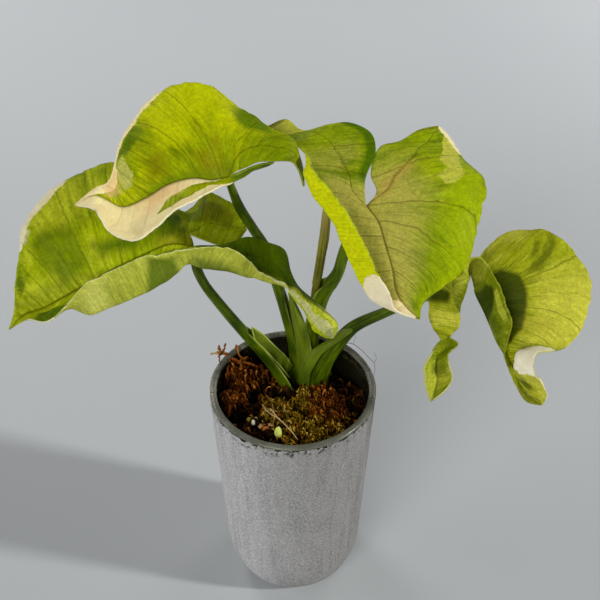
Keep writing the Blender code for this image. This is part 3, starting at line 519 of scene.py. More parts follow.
leafD = {
    "node": "blade_d", "slot": "leaf_pale_green", "upper": -1, "up": (0.2, -0.8, 0.5),
    "rib": [(71, 11.5, 161), (73.5, 8, 154), (77, 4, 148), (80, -0.5, 143), (82.5, -5.5, 139),
            (86, -10, 135.5), (88.5, -14, 132.5), (90, -17, 130), (92, -20.5, 128), (94.5, -23, 126.5),
            (98.5, -27, 126)],
    "far": {
        "arch": 0.09,
        "lobe": [
            [(82, 25, 162.5)], [(78.5, 21.5, 163), (85.5, 27.5, 165)], [(75, 18, 163.5), (89.5, 30, 168)],
            [(72.5, 14.5, 163), (96, 28.5, 170)],
        ],
        "blade": [
            [(103, 26, 171.5)], [(113.5, 18.5, 165.5)], [(119, 9, 158)], [(115.5, -3.5, 147)],
            [(107.5, -12.5, 143.5)], [(94, -11.5, 142.5), (100, -16, 145)],
            [(88.5, -16, 144), (94, -21, 147)], [(87.5, -21, 139.5), (93.5, -26.5, 142.5)],
            [(97, -24.5, 137.5)], [(100, -26, 131.5)],
        ],
        "laterals": [1.6, 2.6, 3.5, 4.4, 5.2, 6.0, 6.8, 7.6, 8.5, 9.6, 11, 12.4],
        "lean": [(0, 1.2), (4, 1.0), (6, -0.6), (8, -1.6), (14, -2)],
        "lobeVein": [(0.4, 0.5), (3, 0.2), (4, 0.0)],
        "patches": [
            ("dark", 1.4, 0.25, [(2.6, -0.3), (2.8, 1.3), (3.6, 1.3), (4.9, 0.66), (4.4, 0.3),
                                 (3.6, -0.3)]),
            ("light", 0.8, 0.6, [(1.6, -0.2), (3.0, -0.2), (3.0, 0.9), (1.6, 1.3)]),
            # painted shadow cast on this half by the folded-over flap
            ("dark", 0.35, 1.0, [(4.3, -0.3), (4.45, 0.3), (4.9, 0.43), (5.6, 0.42), (6.4, 0.37),
                                 (7.2, 0.33), (8.0, 0.2), (8.6, -0.3)]),
            ("light", 1.6, 0.85, [(5.2, 0.55), (6.0, 0.44), (8.4, 0.3), (8.4, 1.3), (5.6, 1.3)]),
            ("olive", 1.2, 0.5, [(6.4, 0.35), (7.6, 0.2), (7.4, 0.6), (6.8, 0.8)]),
            ("cream", 0.6, 1.0, [(8.55, 0.66), (8.6, 1.3), (11.4, 1.3), (11.2, 0.62), (10.7, 0.44),
                                 (9.9, 0.5), (9.2, 0.6)]),
            ("dark", 0.6, 0.7, [(11.2, 0.2), (12.2, 0.25), (12.4, 0.5), (11.4, 0.55)]),
            ("light", 0.5, 0.9, [(11.0, 0.62), (13.4, 0.6), (13.6, 1.0), (11.0, 0.96)]),
            ("cream", 0.6, 0.8, [(11.2, 0.95), (13.6, 0.95), (13.8, 1.3), (11.2, 1.3)]),
        ],
    },
    "near": {
        "arch": 0.0,
        "lobe": [
            [(53.5, -33.5, 134.5)], [(59.5, -30, 138), (55.5, -28.5, 135.5), (51.5, -30.5, 138.5)],
            [(62, -26.5, 140.5), (57, -24.5, 137.5), (51, -27.5, 142.5)],
            [(61, -23, 143.5), (57, -20.5, 140), (51, -25, 145.5)],
            [(60.5, -19, 146), (57, -17.5, 143.5), (53, -22, 147.5)],
            [(64.5, -15.5, 148.5), (60.5, -15, 146), (56, -18, 150)],
            [(61, -13.5, 151), (57, -15, 152.5), (59.5, -18, 153.5)],
            [(64, -10.5, 154.5), (54.5, -13, 155), (64, -15.5, 157)],
            [(65.5, -6, 156.5), (53.5, -8.5, 158), (64.5, -13, 160.5)],
            [(66, -3.5, 158), (53.5, -4.5, 161), (62.5, -10, 164)],
            [(67, -2.5, 160.5), (57, 0, 164.5), (61.5, -6.5, 166.5)],
            [(68, -1, 163.5), (60.5, 2.5, 167.5), (62, -2.5, 168)], [(68.5, 2, 164), (64, 4.5, 170)],
            [(69.5, 5, 164), (66, 6, 171.5)],
        ],
        "blade": [
            [(72, 12.5, 166.5), (73.5, 9, 171.5)], [(75.5, 3.5, 161), (77, 4.5, 170)],
            [(78.5, 0.5, 156), (80.5, -0.5, 165.5)], [(79.5, -3.5, 151.5), (83.5, -5, 159)],
            [(83, -7.5, 146), (86, -8, 152.5)], [(84.5, -11, 137.5), (84, -12, 139.5)],
            [(86.5, -14.5, 132)], [(88, -17.5, 129.5)], [(90, -21, 127.5)], [(92.8, -24.8, 125.8)],
        ],
        "laterals": [1.2, 2.4, 3.6, 4.8, 6.1, 7.4, 8.7, 10.0, 11.3, 12.6, 13.9, 15.2, 16.5, 17.8, 19.2,
                     20.8],
        "lean": [(0, 0.5), (10, 0.4), (14, 0.0), (24, -1.5)],
        "lobeVein": [(0.3, 0.5), (5, 0.5), (8, 0.45), (12, 0.3), (14, 0.0)],
        "patches": [
            ("dark", 0.6, 0.9, [(8.9, 0.5), (10.0, 0.55), (10.1, 1.0), (9.0, 0.9)]),
            ("light", 0.6, 0.7, [(7.0, 0.5), (8.4, 0.5), (8.4, 1.1), (7.0, 1.1)]),
            ("light", 1.0, 0.8, [(8.8, 0.1), (12.8, 0.1), (12.8, 0.6), (9.2, 0.35)]),
            ("light", 1.5, 0.8, [(-1, 0.0), (3.2, 0.0), (3.6, 0.9), (-1, 1.1)]),
            ("dark", 0.7, 0.5, [(2.2, 0.1), (3.5, 0.1), (3.4, 0.7), (2.3, 0.7)]),
            # painted light on the top of the flap's fold
            ("light", 0.6, 1.0, [(12.8, -0.3), (14.3, -0.3), (14.7, 0.4), (14.9, 1.3), (12.8, 1.3)]),
            # painted shade in the hollow under the rolled flap
            ("dark", 0.5, 1.0, [(14.9, -0.3), (16.6, -0.3), (16.7, 0.5), (15.6, 0.78), (15.0, 0.6)]),
            ("dark", 0.7, 0.5, [(16.4, 0.1), (17.9, 0.15), (18.0, 0.65), (16.8, 0.65)]),
            ("light", 0.3, 1.0, [(15.9, 0.7), (17.6, 0.74), (17.6, 0.9), (15.9, 0.88)]),
            ("dark", 0.8, 0.3, [(9.4, 0.8), (10.6, 0.8), (10.6, 1.3), (9.4, 1.3)]),
            ("cream", 0.6, 0.8, [(-1, 0.93), (4.6, 0.94), (4.8, 1.3), (-1, 1.3)]),
            ("cream", 0.6, 0.7, [(-1, -0.3), (-1, 0.06), (3.5, 0.05), (3.5, -0.3)]),
        ],
    },
}

leafFinish = {
    "blade_a": {
        "upper": {"Base": rgb(154, 168, 4), "Light": rgb(198, 206, 6), "Dark": rgb(88, 118, 4),
                  "Olive": rgb(136, 132, 6), "Pink": rgb(228, 188, 124), "Pale": rgb(196, 198, 96),
                  "Cream": rgb(255, 238, 176), "Vein": rgb(96, 94, 4)},
        "under": {"Base": rgb(140, 160, 40), "Light": rgb(172, 186, 60), "Dark": rgb(86, 116, 18),
                  "Olive": rgb(128, 112, 46), "Pink": rgb(228, 196, 150), "Pale": rgb(188, 190, 130),
                  "Cream": rgb(244, 228, 180), "Vein": rgb(112, 130, 30)},
        "rim": {"Base": rgb(180, 190, 60), "Light": rgb(206, 206, 90), "Dark": rgb(120, 146, 30),
                "Olive": rgb(168, 152, 80), "Pink": rgb(238, 214, 170), "Pale": rgb(214, 212, 150),
                "Cream": rgb(252, 240, 200), "Vein": rgb(188, 192, 84)},
    },
    "blade_b": {
        "upper": {"Base": rgb(162, 178, 6), "Light": rgb(206, 212, 44), "Dark": rgb(70, 100, 3),
                  "Olive": rgb(112, 100, 22), "Pink": rgb(132, 114, 32), "Pale": rgb(202, 204, 132),
                  "Cream": rgb(246, 236, 190), "Vein": rgb(98, 108, 6)},
        "under": {"Base": rgb(182, 188, 66), "Light": rgb(212, 214, 104), "Dark": rgb(90, 112, 20),
                  "Olive": rgb(134, 126, 56), "Pink": rgb(206, 190, 120), "Pale": rgb(206, 206, 130),
                  "Cream": rgb(206, 208, 126), "Vein": rgb(126, 138, 36)},
        "rim": {"Base": rgb(206, 212, 130), "Light": rgb(226, 224, 160), "Dark": rgb(150, 166, 60),
                "Olive": rgb(190, 180, 110), "Pink": rgb(236, 222, 180), "Pale": rgb(222, 220, 170),
                "Cream": rgb(252, 244, 214), "Vein": rgb(214, 214, 150)},
    },
    "blade_c": {
        "upper": {"Base": rgb(140, 160, 10), "Light": rgb(166, 186, 4), "Dark": rgb(72, 112, 4),
                  "Olive": rgb(198, 188, 88), "Pink": rgb(200, 158, 82), "Pale": rgb(196, 198, 70),
                  "Cream": rgb(252, 236, 180), "Vein": rgb(92, 54, 18)},
        "under": {"Base": rgb(216, 222, 8), "Light": rgb(226, 230, 18), "Dark": rgb(192, 206, 6),
                  "Olive": rgb(196, 200, 20), "Pink": rgb(232, 204, 120), "Pale": rgb(220, 220, 80),
                  "Cream": rgb(255, 242, 206), "Vein": rgb(206, 212, 10), "Mottle": 0.12,
                  "Vein Strength": 0.2},
        "rim": {"Base": rgb(176, 192, 40), "Light": rgb(200, 208, 60), "Dark": rgb(100, 132, 14),
                "Olive": rgb(178, 172, 84), "Pink": rgb(220, 190, 140), "Pale": rgb(220, 218, 130),
                "Cream": rgb(252, 242, 206), "Vein": rgb(176, 190, 60)},
    },
    "blade_d": {
        "upper": {"Base": rgb(166, 174, 24), "Light": rgb(212, 210, 72), "Dark": rgb(44, 60, 2),
                  "Olive": rgb(146, 126, 30), "Pink": rgb(200, 170, 110), "Pale": rgb(190, 192, 110),
                  "Cream": rgb(255, 249, 224), "Vein": rgb(88, 96, 10)},
        "under": {"Base": rgb(128, 142, 16), "Light": rgb(190, 194, 60), "Dark": rgb(44, 60, 4),
                  "Olive": rgb(120, 112, 44), "Pink": rgb(200, 176, 120), "Pale": rgb(180, 184, 120),
                  "Cream": rgb(170, 176, 90), "Vein": rgb(90, 106, 14)},
        "rim": {"Base": rgb(132, 144, 30), "Light": rgb(186, 190, 70), "Dark": rgb(70, 88, 8),
                "Olive": rgb(170, 160, 90), "Pink": rgb(220, 200, 150), "Pale": rgb(214, 214, 150),
                "Cream": rgb(196, 196, 120), "Vein": rgb(190, 194, 110)},
    },
}


def spreadRow(points, columns):
    # a row's points, spread evenly over its length
    if len(points) == 1:
        return np.repeat(np.array(points, dtype=float), columns + 1, axis=0)
    curve = curveThrough(points, 12)
    length = np.concatenate([[0.0], np.cumsum(np.linalg.norm(np.diff(curve, axis=0), axis=1))])
    places = np.linspace(0, length[-1], columns + 1)
    return np.stack([np.interp(places, length, curve[:, axis]) for axis in range(3)], axis=1)


def halfSurface(leaf, side, columns, steps):
    # points of one half in millimetres: rows from the lobe's tip to the blade's tip, rib to margin
    half = leaf[side]
    rows = half["lobe"] + [[rib] + row for rib, row in zip(leaf["rib"], half["blade"])]
    rows = rows + [[leaf["rib"][-1]]]
    grid = np.array([spreadRow(row, columns) for row in rows])
    middle = grid[:, round(0.4 * columns)].copy()
    across = np.linspace(0, 1, columns + 1)[:, None]
    up = np.array(leaf["up"])
    for i, row in enumerate(rows):
        if len(row) != 2:
            continue
        width = grid[i, -1] - grid[i, 0]
        along = middle[min(i + 1, len(rows) - 1)] - middle[max(i - 1, 0)]
        normal = np.cross(along, width)
        normal *= math.copysign(1.0, normal @ up) / np.linalg.norm(normal)
        grid[i] += half["arch"] * np.linalg.norm(width) * 4 * across * (1 - across) * normal
    fine = np.stack([curveThrough(column, steps) for column in grid.transpose(1, 0, 2)], axis=1)
    start = len(half["lobe"]) * steps
    fine[start:, 0] = curveThrough(leaf["rib"], steps)
    return fine


def nearestOnLine(points, line):
    # distance of each point to a line of straight stretches
    best = np.full(points.shape[:-1], np.inf)
    line = np.array(line, dtype=float)
    for a, b in zip(line, line[1:]):
        share = np.clip((points - a) @ (b - a) / ((b - a) @ (b - a)), 0, 1)
        best = np.minimum(best, np.linalg.norm(points - a - share[..., None] * (b - a), axis=-1))
    return best


def patchMask(points, outline, soft):
    # rises from 0 outside an outline to 1 inside it, over a width of `soft`
    outline = np.array(outline, dtype=float)
    inside = np.zeros(points.shape[:-1], dtype=bool)
    for a, b in zip(outline, np.roll(outline, -1, axis=0)):
        crosses = (a[1] > points[..., 1]) != (b[1] > points[..., 1])
        level = (points[..., 1] - a[1]) / (b[1] - a[1] if b[1] != a[1] else 1e-9)
        inside ^= crosses & (points[..., 0] < a[0] + level * (b[0] - a[0]))
    gap = nearestOnLine(points, np.vstack([outline, outline[0]]))
    return np.clip(0.5 + np.where(inside, gap, -gap) / soft, 0, 1)


patchKinds = ("cream", "green", "dark", "olive", "pink", "pale", "light")
surfaceMarks = ("cream", "dark", "olive", "pink", "pale", "light", "across", "ribGap", "lateral")


def halfMarks(leaf, side, points):
    # what each vertex of a half carries for its material
    half = leaf[side]
    count, columns = points.shape[:2]
    steps = leafShared["rowSteps"]
    row = np.repeat(np.arange(count)[:, None] / steps, columns, axis=1)
    across = np.repeat(np.linspace(0, 1, columns)[None, :], count, axis=0)
    place = np.stack([row, across * leafShared["rowsAcross"]], axis=-1)
    marks = {kind: np.zeros(row.shape) for kind in patchKinds}
    for kind, soft, strength, outline in half["patches"]:
        outline = [(a, b * leafShared["rowsAcross"]) for a, b in outline]
        marks[kind] = np.maximum(marks[kind], strength * patchMask(place, outline, soft))
    marks["cream"] *= 1 - marks.pop("green")
    lean = np.interp(row, *zip(*half["lean"]))
    label = row + lean * across
    marks["lateral"] = np.interp(label, half["laterals"], range(len(half["laterals"])))
    marks["across"] = across
    attach = len(half["lobe"])
    ribGap = np.linalg.norm(points - points[:, :1], axis=-1)
    ribGap[row < attach] = 99
    lobeLine = [(a, b * leafShared["rowsAcross"]) for a, b in half["lobeVein"]]
    rowLength = np.linalg.norm(np.diff(points, axis=0), axis=-1).mean() * steps
    marks["ribGap"] = np.minimum(ribGap, nearestOnLine(place, lobeLine) * rowLength)
    return marks


def reliefOf(leaf, side, points, marks):
    # height above the plain surface, towards the upper face: sunk veins, quilting and soft waves
    rib = np.exp(-(marks["ribGap"] / 0.9) ** 2) * (1 - 0.5 * marks["across"])
    valley = np.abs(((marks["lateral"] + 0.5) % 1.0) - 0.5) * 2
    fade = np.clip(4 * marks["across"], 0, 1) * (1 - marks["across"] ** 6)
    quilt = (valley ** 0.6 - 0.5) * fade
    wave = np.zeros(points.shape[:2])
    for index in np.ndindex(wave.shape):
        spot = Vector(points[index])
        wave[index] = noise.noise(spot * 0.11) + 0.4 * noise.noise(spot * 0.32)
    pinned = np.clip(points.shape[0] - np.arange(points.shape[0]) - 1, 0, 12)[:, None] / 12
    height = leafShared["quilt"] * quilt - leafShared["ribSink"] * rib
    height += leafShared["wave"] * wave * np.clip(3 * marks["across"], 0, 1)
    return height * pinned


def crinkleMargin(points):
    # draws the margin in a little here and there, so that it is uneven
    inward = points[:, -6] - points[:, -1]
    width = np.linalg.norm(inward, axis=-1)
    for i in np.flatnonzero(width > 0.8):
        spot = Vector(points[i, -1])
        depth = max(0.0, 0.15 + 0.9 * noise.noise(spot * 0.3) + 0.6 * noise.noise(spot * 0.8))
        for j in range(1, 6):
            points[i, -j] += inward[i] / width[i] * depth * ((6 - j) / 5) ** 2


def makeBlade(name, leaf):
    columns, steps = leafShared["columns"], leafShared["rowSteps"]
    bm = bmesh.new()
    layers = {kind: bm.verts.layers.float.new(kind) for kind in surfaceMarks}
    bm.loops.layers.uv.new("UVMap")
    for side in ("far", "near"):
        points = halfSurface(leaf, side, columns, steps)
        marks = halfMarks(leaf, side, points)
        crinkleMargin(points)
        facing = leaf["upper"] if side == "far" else -leaf["upper"]
        normals = np.cross(np.gradient(points, axis=1), np.gradient(points, axis=0)) * facing
        normals /= np.maximum(np.linalg.norm(normals, axis=-1), 1e-9)[..., None]
        relief = reliefOf(leaf, side, points, marks)
        places = points * mm + relief[..., None] * normals
        way = 0.48 if side == "far" else -0.48
        faces = laySheet(bm, places, layers, marks, lambda along, across: (0.5 + way * across, along))
        if facing < 0:
            bmesh.ops.reverse_faces(bm, faces=list(faces))
    bmesh.ops.remove_doubles(bm, verts=bm.verts, dist=0.012 * mm)
    bmesh.ops.dissolve_degenerate(bm, dist=0.012 * mm, edges=bm.edges)
    finishes = leafFinish[leaf["node"]]
    materials = [leafMaterial(name + part.capitalize(), finishes[part], part)
                 for part in ("upper", "under", "rim")]
    piece = makePiece(name, bm, materials, [leaf["node"]])
    skin = thicken(piece, leafShared["thickness"])
    skin.material_offset = 1
    skin.material_offset_rim = 2


def makeLeafGroup():
    colours = {label: (0.5, 0.5, 0.5, 1.0) for label in
               ("Base", "Light", "Dark", "Olive", "Pink", "Pale", "Cream", "Vein")}
    values = {"Vein Strength": 0.6, "Net Strength": 0.3, "Mottle": 0.6, "Shine": 0.4}
    tree, given, made = newGroup("leafSurface", {**colours, **values},
                                 {"Colour": "Color", "Roughness": "Float", "Height": "Float"})
    spot = put(tree, "TexCoord").outputs["Object"]
    broad = noiseAt(tree, spot, 55, 3)
    middle = noiseAt(tree, spot, 210, 4, 0.6)
    fine = noiseAt(tree, spot, 950, 2)
    wrinkle = noiseAt(tree, spot, 480, 3, 0.6)
    across, lateral = attribute(tree, "across"), attribute(tree, "lateral")
    along = put(tree, "CombineXYZ", {"X": times(tree, lateral, 2.6),
                                     "Y": times(tree, across, 1.3), "Z": 0.0}).outputs[0]
    streak = noiseAt(tree, along, 1.6, 4, 0.6, 0.3)
    thin = put(tree, "CombineXYZ", {"X": times(tree, lateral, 9.0),
                                    "Y": times(tree, across, 2.2), "Z": 0.0}).outputs[0]
    fibre = noiseAt(tree, thin, 1.6, 3, 0.6, 0.4)

    # veins: laterals lie at whole values of `lateral`, finer ones half way
    bent = plus(tree, lateral, calc(tree, "MULTIPLY_ADD", middle, 0.16, -0.08))
    toLateral = calc(tree, "PINGPONG", bent, 0.5)
    width = calc(tree, "MULTIPLY_ADD", across, -0.022, 0.038)
    first = less(tree, 1.0, ramp(tree, toLateral, times(tree, width, 0.35), width))
    between = calc(tree, "PINGPONG", plus(tree, bent, 0.5), 0.5)
    second = less(tree, 1.0, ramp(tree, between, 0.008, 0.03))
    rib = less(tree, 1.0, ramp(tree, attribute(tree, "ribGap"), 0.18, 0.75))
    cells = put(tree, "TexVoronoi", {"Vector": spot, "Scale": 430.0, "Randomness": 1.0},
                feature="DISTANCE_TO_EDGE").outputs["Distance"]
    net = less(tree, 1.0, ramp(tree, cells, 0.01, 0.12))
    main = calc(tree, "MAXIMUM", rib, times(tree, first, 0.75))
    main = calc(tree, "MAXIMUM", main, times(tree, second, 0.3))
    finer = calc(tree, "PINGPONG", times(tree, bent, 6.0), 0.5)
    ribs = times(tree, less(tree, 1.0, ramp(tree, finer, 0.02, 0.3)), ramp(tree, middle, 0.4, 0.65))

    # colours, from the broad mottling to the crisp patches
    share = plus(tree, times(tree, broad, 0.55), times(tree, streak, 0.95))
    share = plus(tree, share, times(tree, middle, 0.2))
    share = plus(tree, share, times(tree, fibre, 0.3))
    mottled = times(tree, ramp(tree, share, 0.98, 1.22), given["Mottle"])
    colour = mixColour(tree, mottled, given["Base"], given["Light"])
    deep = times(tree, ramp(tree, share, 1.0, 0.76), given["Mottle"])
    colour = mixColour(tree, times(tree, deep, 0.75), colour, given["Dark"])

    def soft(kind, low, high):
        value = plus(tree, attribute(tree, kind), calc(tree, "MULTIPLY_ADD", middle, 0.3, -0.15))
        value = plus(tree, value, calc(tree, "MULTIPLY_ADD", streak, 0.6, -0.3))
        value = plus(tree, value, calc(tree, "MULTIPLY_ADD", wrinkle, 0.2, -0.1))
        inside = ramp(tree, attribute(tree, kind), 0.0, 0.12)
        return times(tree, ramp(tree, value, low, high), inside)

    def crisp(kind):
        value = plus(tree, attribute(tree, kind), calc(tree, "MULTIPLY_ADD", middle, 0.9, -0.45))
        value = plus(tree, value, calc(tree, "MULTIPLY_ADD", wrinkle, 0.5, -0.25))
        inside = ramp(tree, attribute(tree, kind), 0.0, 0.05)
        return times(tree, ramp(tree, value, 0.43, 0.57), inside)

    # light and dark patches: paler and darker leaf colour, and also painted light and painted shade
    colour = mixColour(tree, times(tree, soft("light", 0.1, 0.9), 0.9), colour, given["Light"])
    colour = mixColour(tree, times(tree, soft("dark", 0.1, 0.9), 0.9), colour, given["Dark"])
    colour = mixColour(tree, times(tree, soft("olive", 0.1, 1.0), 0.85), colour, given["Olive"])
    colour = mixColour(tree, crisp("pale"), colour, given["Pale"])
    netted = times(tree, net, given["Net Strength"])
    colour = mixColour(tree, netted, colour, given["Vein"])
    cream = crisp("cream")
    creamy = mixColour(tree, ramp(tree, middle, 0.35, 0.75, 0.0, 0.2), given["Cream"], given["Pink"])
    colour = mixColour(tree, cream, colour, creamy)
    colour = mixColour(tree, times(tree, soft("pink", 0.1, 1.0), 0.75), colour, given["Pink"])
    lines = times(tree, main, given["Vein Strength"])
    lines = times(tree, lines, calc(tree, "MULTIPLY_ADD", cream, -0.7, 1.0))
    colour = mixColour(tree, lines, colour, given["Vein"])
    grain = times(tree, ramp(tree, fine, 0.28, 0.72, 0.88, 1.09),
                  ramp(tree, wrinkle, 0.3, 0.7, 0.94, 1.05))
    grain = times(tree, grain, ramp(tree, fibre, 0.3, 0.7, 0.9, 1.08))
    grain = times(tree, grain, calc(tree, "MULTIPLY_ADD", ribs, -0.14, 1.0))
    grain = plus(tree, times(tree, grain, calc(tree, "MULTIPLY_ADD", cream, -0.75, 1.0)),
                 times(tree, cream, 0.75))
    shade = put(tree, "CombineColor", {0: grain, 1: grain, 2: grain}).outputs[0]
    tree.links.new(mixColour(tree, 1.0, colour, shade, "MULTIPLY"), made["Colour"])

    rough = plus(tree, given["Shine"], calc(tree, "MULTIPLY_ADD", middle, 0.2, -0.1))
    tree.links.new(plus(tree, rough, times(tree, net, 0.06)), made["Roughness"])
    height = less(tree, times(tree, fine, 0.12), times(tree, main, 0.8))
    height = less(tree, height, times(tree, net, 0.08))
    tree.links.new(plus(tree, height, times(tree, middle, 0.3)), made["Height"])
    return tree


leafSheen = {
    "upper": {"Vein Strength": 0.55, "Net Strength": 0.12, "Mottle": 0.85, "Shine": 0.45},
    "under": {"Vein Strength": 0.45, "Net Strength": 0.1, "Mottle": 0.5, "Shine": 0.6},
    "rim": {"Vein Strength": 0.0, "Net Strength": 0.0, "Mottle": 0.4, "Shine": 0.5},
}


def leafMaterial(name, colours, part):
    shine = {"Subsurface Weight": 0.25, "Subsurface Radius": (0.8, 1.0, 0.1), "Subsurface Scale": 0.001,
             "Specular IOR Level": 0.04}
    distance = (-0.25 if part == "under" else 0.25) * mm
    return finishWith(name, leafGroup, {**leafSheen[part], **colours}, shine, abs(distance),
                      0.7 if part == "upper" else 0.5)


leafGroup = makeLeafGroup()
for bladeName, leaf in (("bladeA", leafA), ("bladeB", leafB), ("bladeC", leafC), ("bladeD", leafD)):
    makeBlade(bladeName, leaf)
    print("leaf made:", bladeName)


# Petioles and the rolled young leaf

# opens is the way a sheath faces, wing how far its edges stand up, floor how thick it is below them
petioles = {
    "petiole_a": {
        "opens": (1.0, -0.25, 0.0), "wing": 1.6, "floor": 2.4,
        "route": [(0.5, 14.5, 91), (1, 13.7, 105), (0.5, 12.8, 121), (-3, 11.5, 142),
                  (-6, 11, 156), (-10, 10, 174.5), (-15, 8, 187), (-19.7, 5.5, 199.2),
                  (-23.2, 2.2, 214.8)],
        "radius": [2.5, 2.5, 2.5, 2.4, 2.3, 2.1, 1.9, 1.9, 1.3],
        "open": [1, 1, 1, 1, 0, 0, 0, 0, 0],
    },
    "petiole_b": {
        "opens": (0.8, 0.0, 0.6), "wing": 2.2, "floor": 2.6,
        "route": [(1, 7, 91), (-1, 7.2, 99), (-4, 7.4, 106), (-12.5, 5, 125), (-17, 3, 133.5),
                  (-21, 1.5, 141), (-29, -0.5, 156.5), (-34, -1, 166.5), (-36.5, -1.5, 175),
                  (-37.6, -0.8, 183.1)],
        "radius": [2.6, 2.7, 2.8, 2.8, 2.5, 2.2, 2.0, 1.9, 1.9, 1.3],
        "open": [1, 1, 1, 1, 1, 0, 0, 0, 0, 0],
    },
    "petiole_c": {
        "opens": (-1.0, 0.1, 0.2), "wing": 3.2, "floor": 3.3,
        "route": [(8.5, 15, 91), (8, 14, 105), (7.5, 12.5, 122), (9.5, 10.5, 140),
                  (12.5, 8, 155), (15.8, 6, 162), (18, 4.4, 168.5), (20.5, 2.8, 181.5),
                  (24.5, 0, 193.5), (27.3, -3.5, 205.9)],
        "radius": [3.0, 3.1, 3.2, 3.3, 3.4, 2.7, 2.3, 2.2, 2.0, 1.3],
        "open": [1, 1, 1, 1, 1, 0, 0, 0, 0, 0],
    },
    "petiole_d": {
        "opens": (-0.5, 0.8, 0.3), "wing": 1.2, "floor": 1.3,
        "route": [(9.5, 9.5, 91), (9.5, 9.5, 104), (12.5, 9, 116), (18, 8.5, 126),
                  (25.5, 7.5, 136.5), (37.5, 6, 145.5), (47, 6.5, 150.5), (59, 8.5, 154.5),
                  (70.3, 11, 159.7)],
        "radius": [5.6, 5.7, 5.0, 3.8, 2.6, 2.1, 2.0, 2.0, 1.3],
        "open": [1, 1, 1, 1, 0, 0, 0, 0, 0],
    },
}
petioleShared = {"sheathWall": 0.9, "routeSteps": 8, "outlineSteps": 4, "ridge": 0.02, "ridges": 11}

youngLeaf = {
    "route": [(8.6, 9.2, 150), (9.2, 8.4, 156), (10, 7.8, 162), (12, 8.8, 178.5),
              (13, 9.5, 192), (13.5, 11, 205)],
    "radius": [1.5, 1.7, 1.9, 2.1, 1.9, 0.5],
    "sides": 36, "routeSteps": 12, "overlap": 0.16, "twist": 1.6,
}


def sheathOutline(radius, opening, wing, floor):
    # a petiole across its run: a round that opens into a channel with two wings
    outside = [math.radians(32 * (i - 4)) for i in range(9)]
    between = [math.radians(128 + 104 * (i + 1) / 6) for i in range(5)]
    roundForm = [(radius * math.sin(t), -radius * math.cos(t)) for t in outside + between]
    inside = radius - petioleShared["sheathWall"]
    shoulder = 0.35 * wing
    channel = [(-radius, wing), (-radius, 0.0)]
    channel += [(radius * math.sin(math.radians(t)), -radius * math.cos(math.radians(t)))
                for t in (-60, -30, 0, 30, 60)]
    channel += [(radius, 0.0), (radius, wing)]
    channel += [(inside, wing), (0.95 * inside, shoulder), (0.0, floor - radius)]
    channel += [(-0.95 * inside, shoulder), (-inside, wing)]
    outline = [(a[0] + (b[0] - a[0]) * opening, a[1] + (b[1] - a[1]) * opening)
               for a, b in zip(roundForm, channel)]
    return curveThrough(outline, petioleShared["outlineSteps"], closed=True)


def routeRings(route, outlineAt, facing):
    # outlines square across a route, with their +Y side to `facing`; the first one lies level
    rings = []
    for i, centre in enumerate(route):
        ahead = route[min(i + 1, len(route) - 1)] - route[max(i - 1, 0)]
        ahead = Vector(ahead).normalized() if i else Vector((0.0, 0.0, 1.0))
        side = Vector(facing).cross(ahead).normalized()
        out = ahead.cross(side)
        middle = Vector(centre)
        rings.append([(middle + side * x + out * y) * mm for x, y in outlineAt(i)])
    return rings


def alongRoute(spec, key, count):
    # a value given at each point of a route, spread over its finer points
    places = np.arange(len(spec["route"]))
    return np.interp(np.linspace(0, len(places) - 1, count), places, spec[key])


def addTubeUv(bm, start, sides, steps, length):
    # UV in centimetres round and along a tube, for streaks that follow it
    layer = bm.loops.layers.uv.verify()
    places = tubeForm(sides, steps)[1]
    index = {bm.verts[start + k]: place for k, place in enumerate(places)}
    for face in {face for vert in index for face in vert.link_faces}:
        columns = [index[loop.vert][1] for loop in face.loops]
        wraps = max(columns) - min(columns) > sides / 2
        for loop in face.loops:
            level, place = index[loop.vert]
            place += sides if wraps and place < sides / 2 else 0
            loop[layer].uv = (place / sides, level / steps * length)


def makePetiole(name, spec):
    route = curveThrough(spec["route"], petioleShared["routeSteps"])
    radius = alongRoute(spec, "radius", len(route))
    opening = alongRoute(spec, "open", len(route))
    opening = opening * opening * (3 - 2 * opening)
    rings = routeRings(route, lambda i: sheathOutline(radius[i], opening[i], spec["wing"], spec["floor"]),
                       spec["opens"])
    sides = len(rings[0])
    bm = bmesh.new()
    bm.loops.layers.uv.new("UVMap")
    rimLayer = bm.verts.layers.float.new("rim")
    inLayer = bm.verts.layers.float.new("inside")
    topLayer = bm.verts.layers.float.new("top")
    perPoint = petioleShared["outlineSteps"]
    rim, inside, top = (np.zeros((len(rings), sides)) for _ in range(3))
    for j in range(sides):
        place = j / perPoint       # 0 and 8 are the wings' outer tops, 9 and 13 the inner ones
        toTop = min(abs(place - 8.5), abs(place - 13.5), abs(place + 0.5))
        rim[:, j] = opening * max(0.0, 1 - toTop / 1.1)
        inside[:, j] = opening * (1.0 if 9 <= place <= 13 else 0.0)
    top[:] = np.linspace(0, 1, len(rings))[:, None]
    start = addTube(bm, rings, {rimLayer: rim, inLayer: inside, topLayer: top})
    length = np.linalg.norm(np.diff(route, axis=0), axis=1).sum() / 10
    addTubeUv(bm, start, sides, len(rings) - 1, length)
    return makePiece(name, bm, [stemMaterial], [spec["node"]])


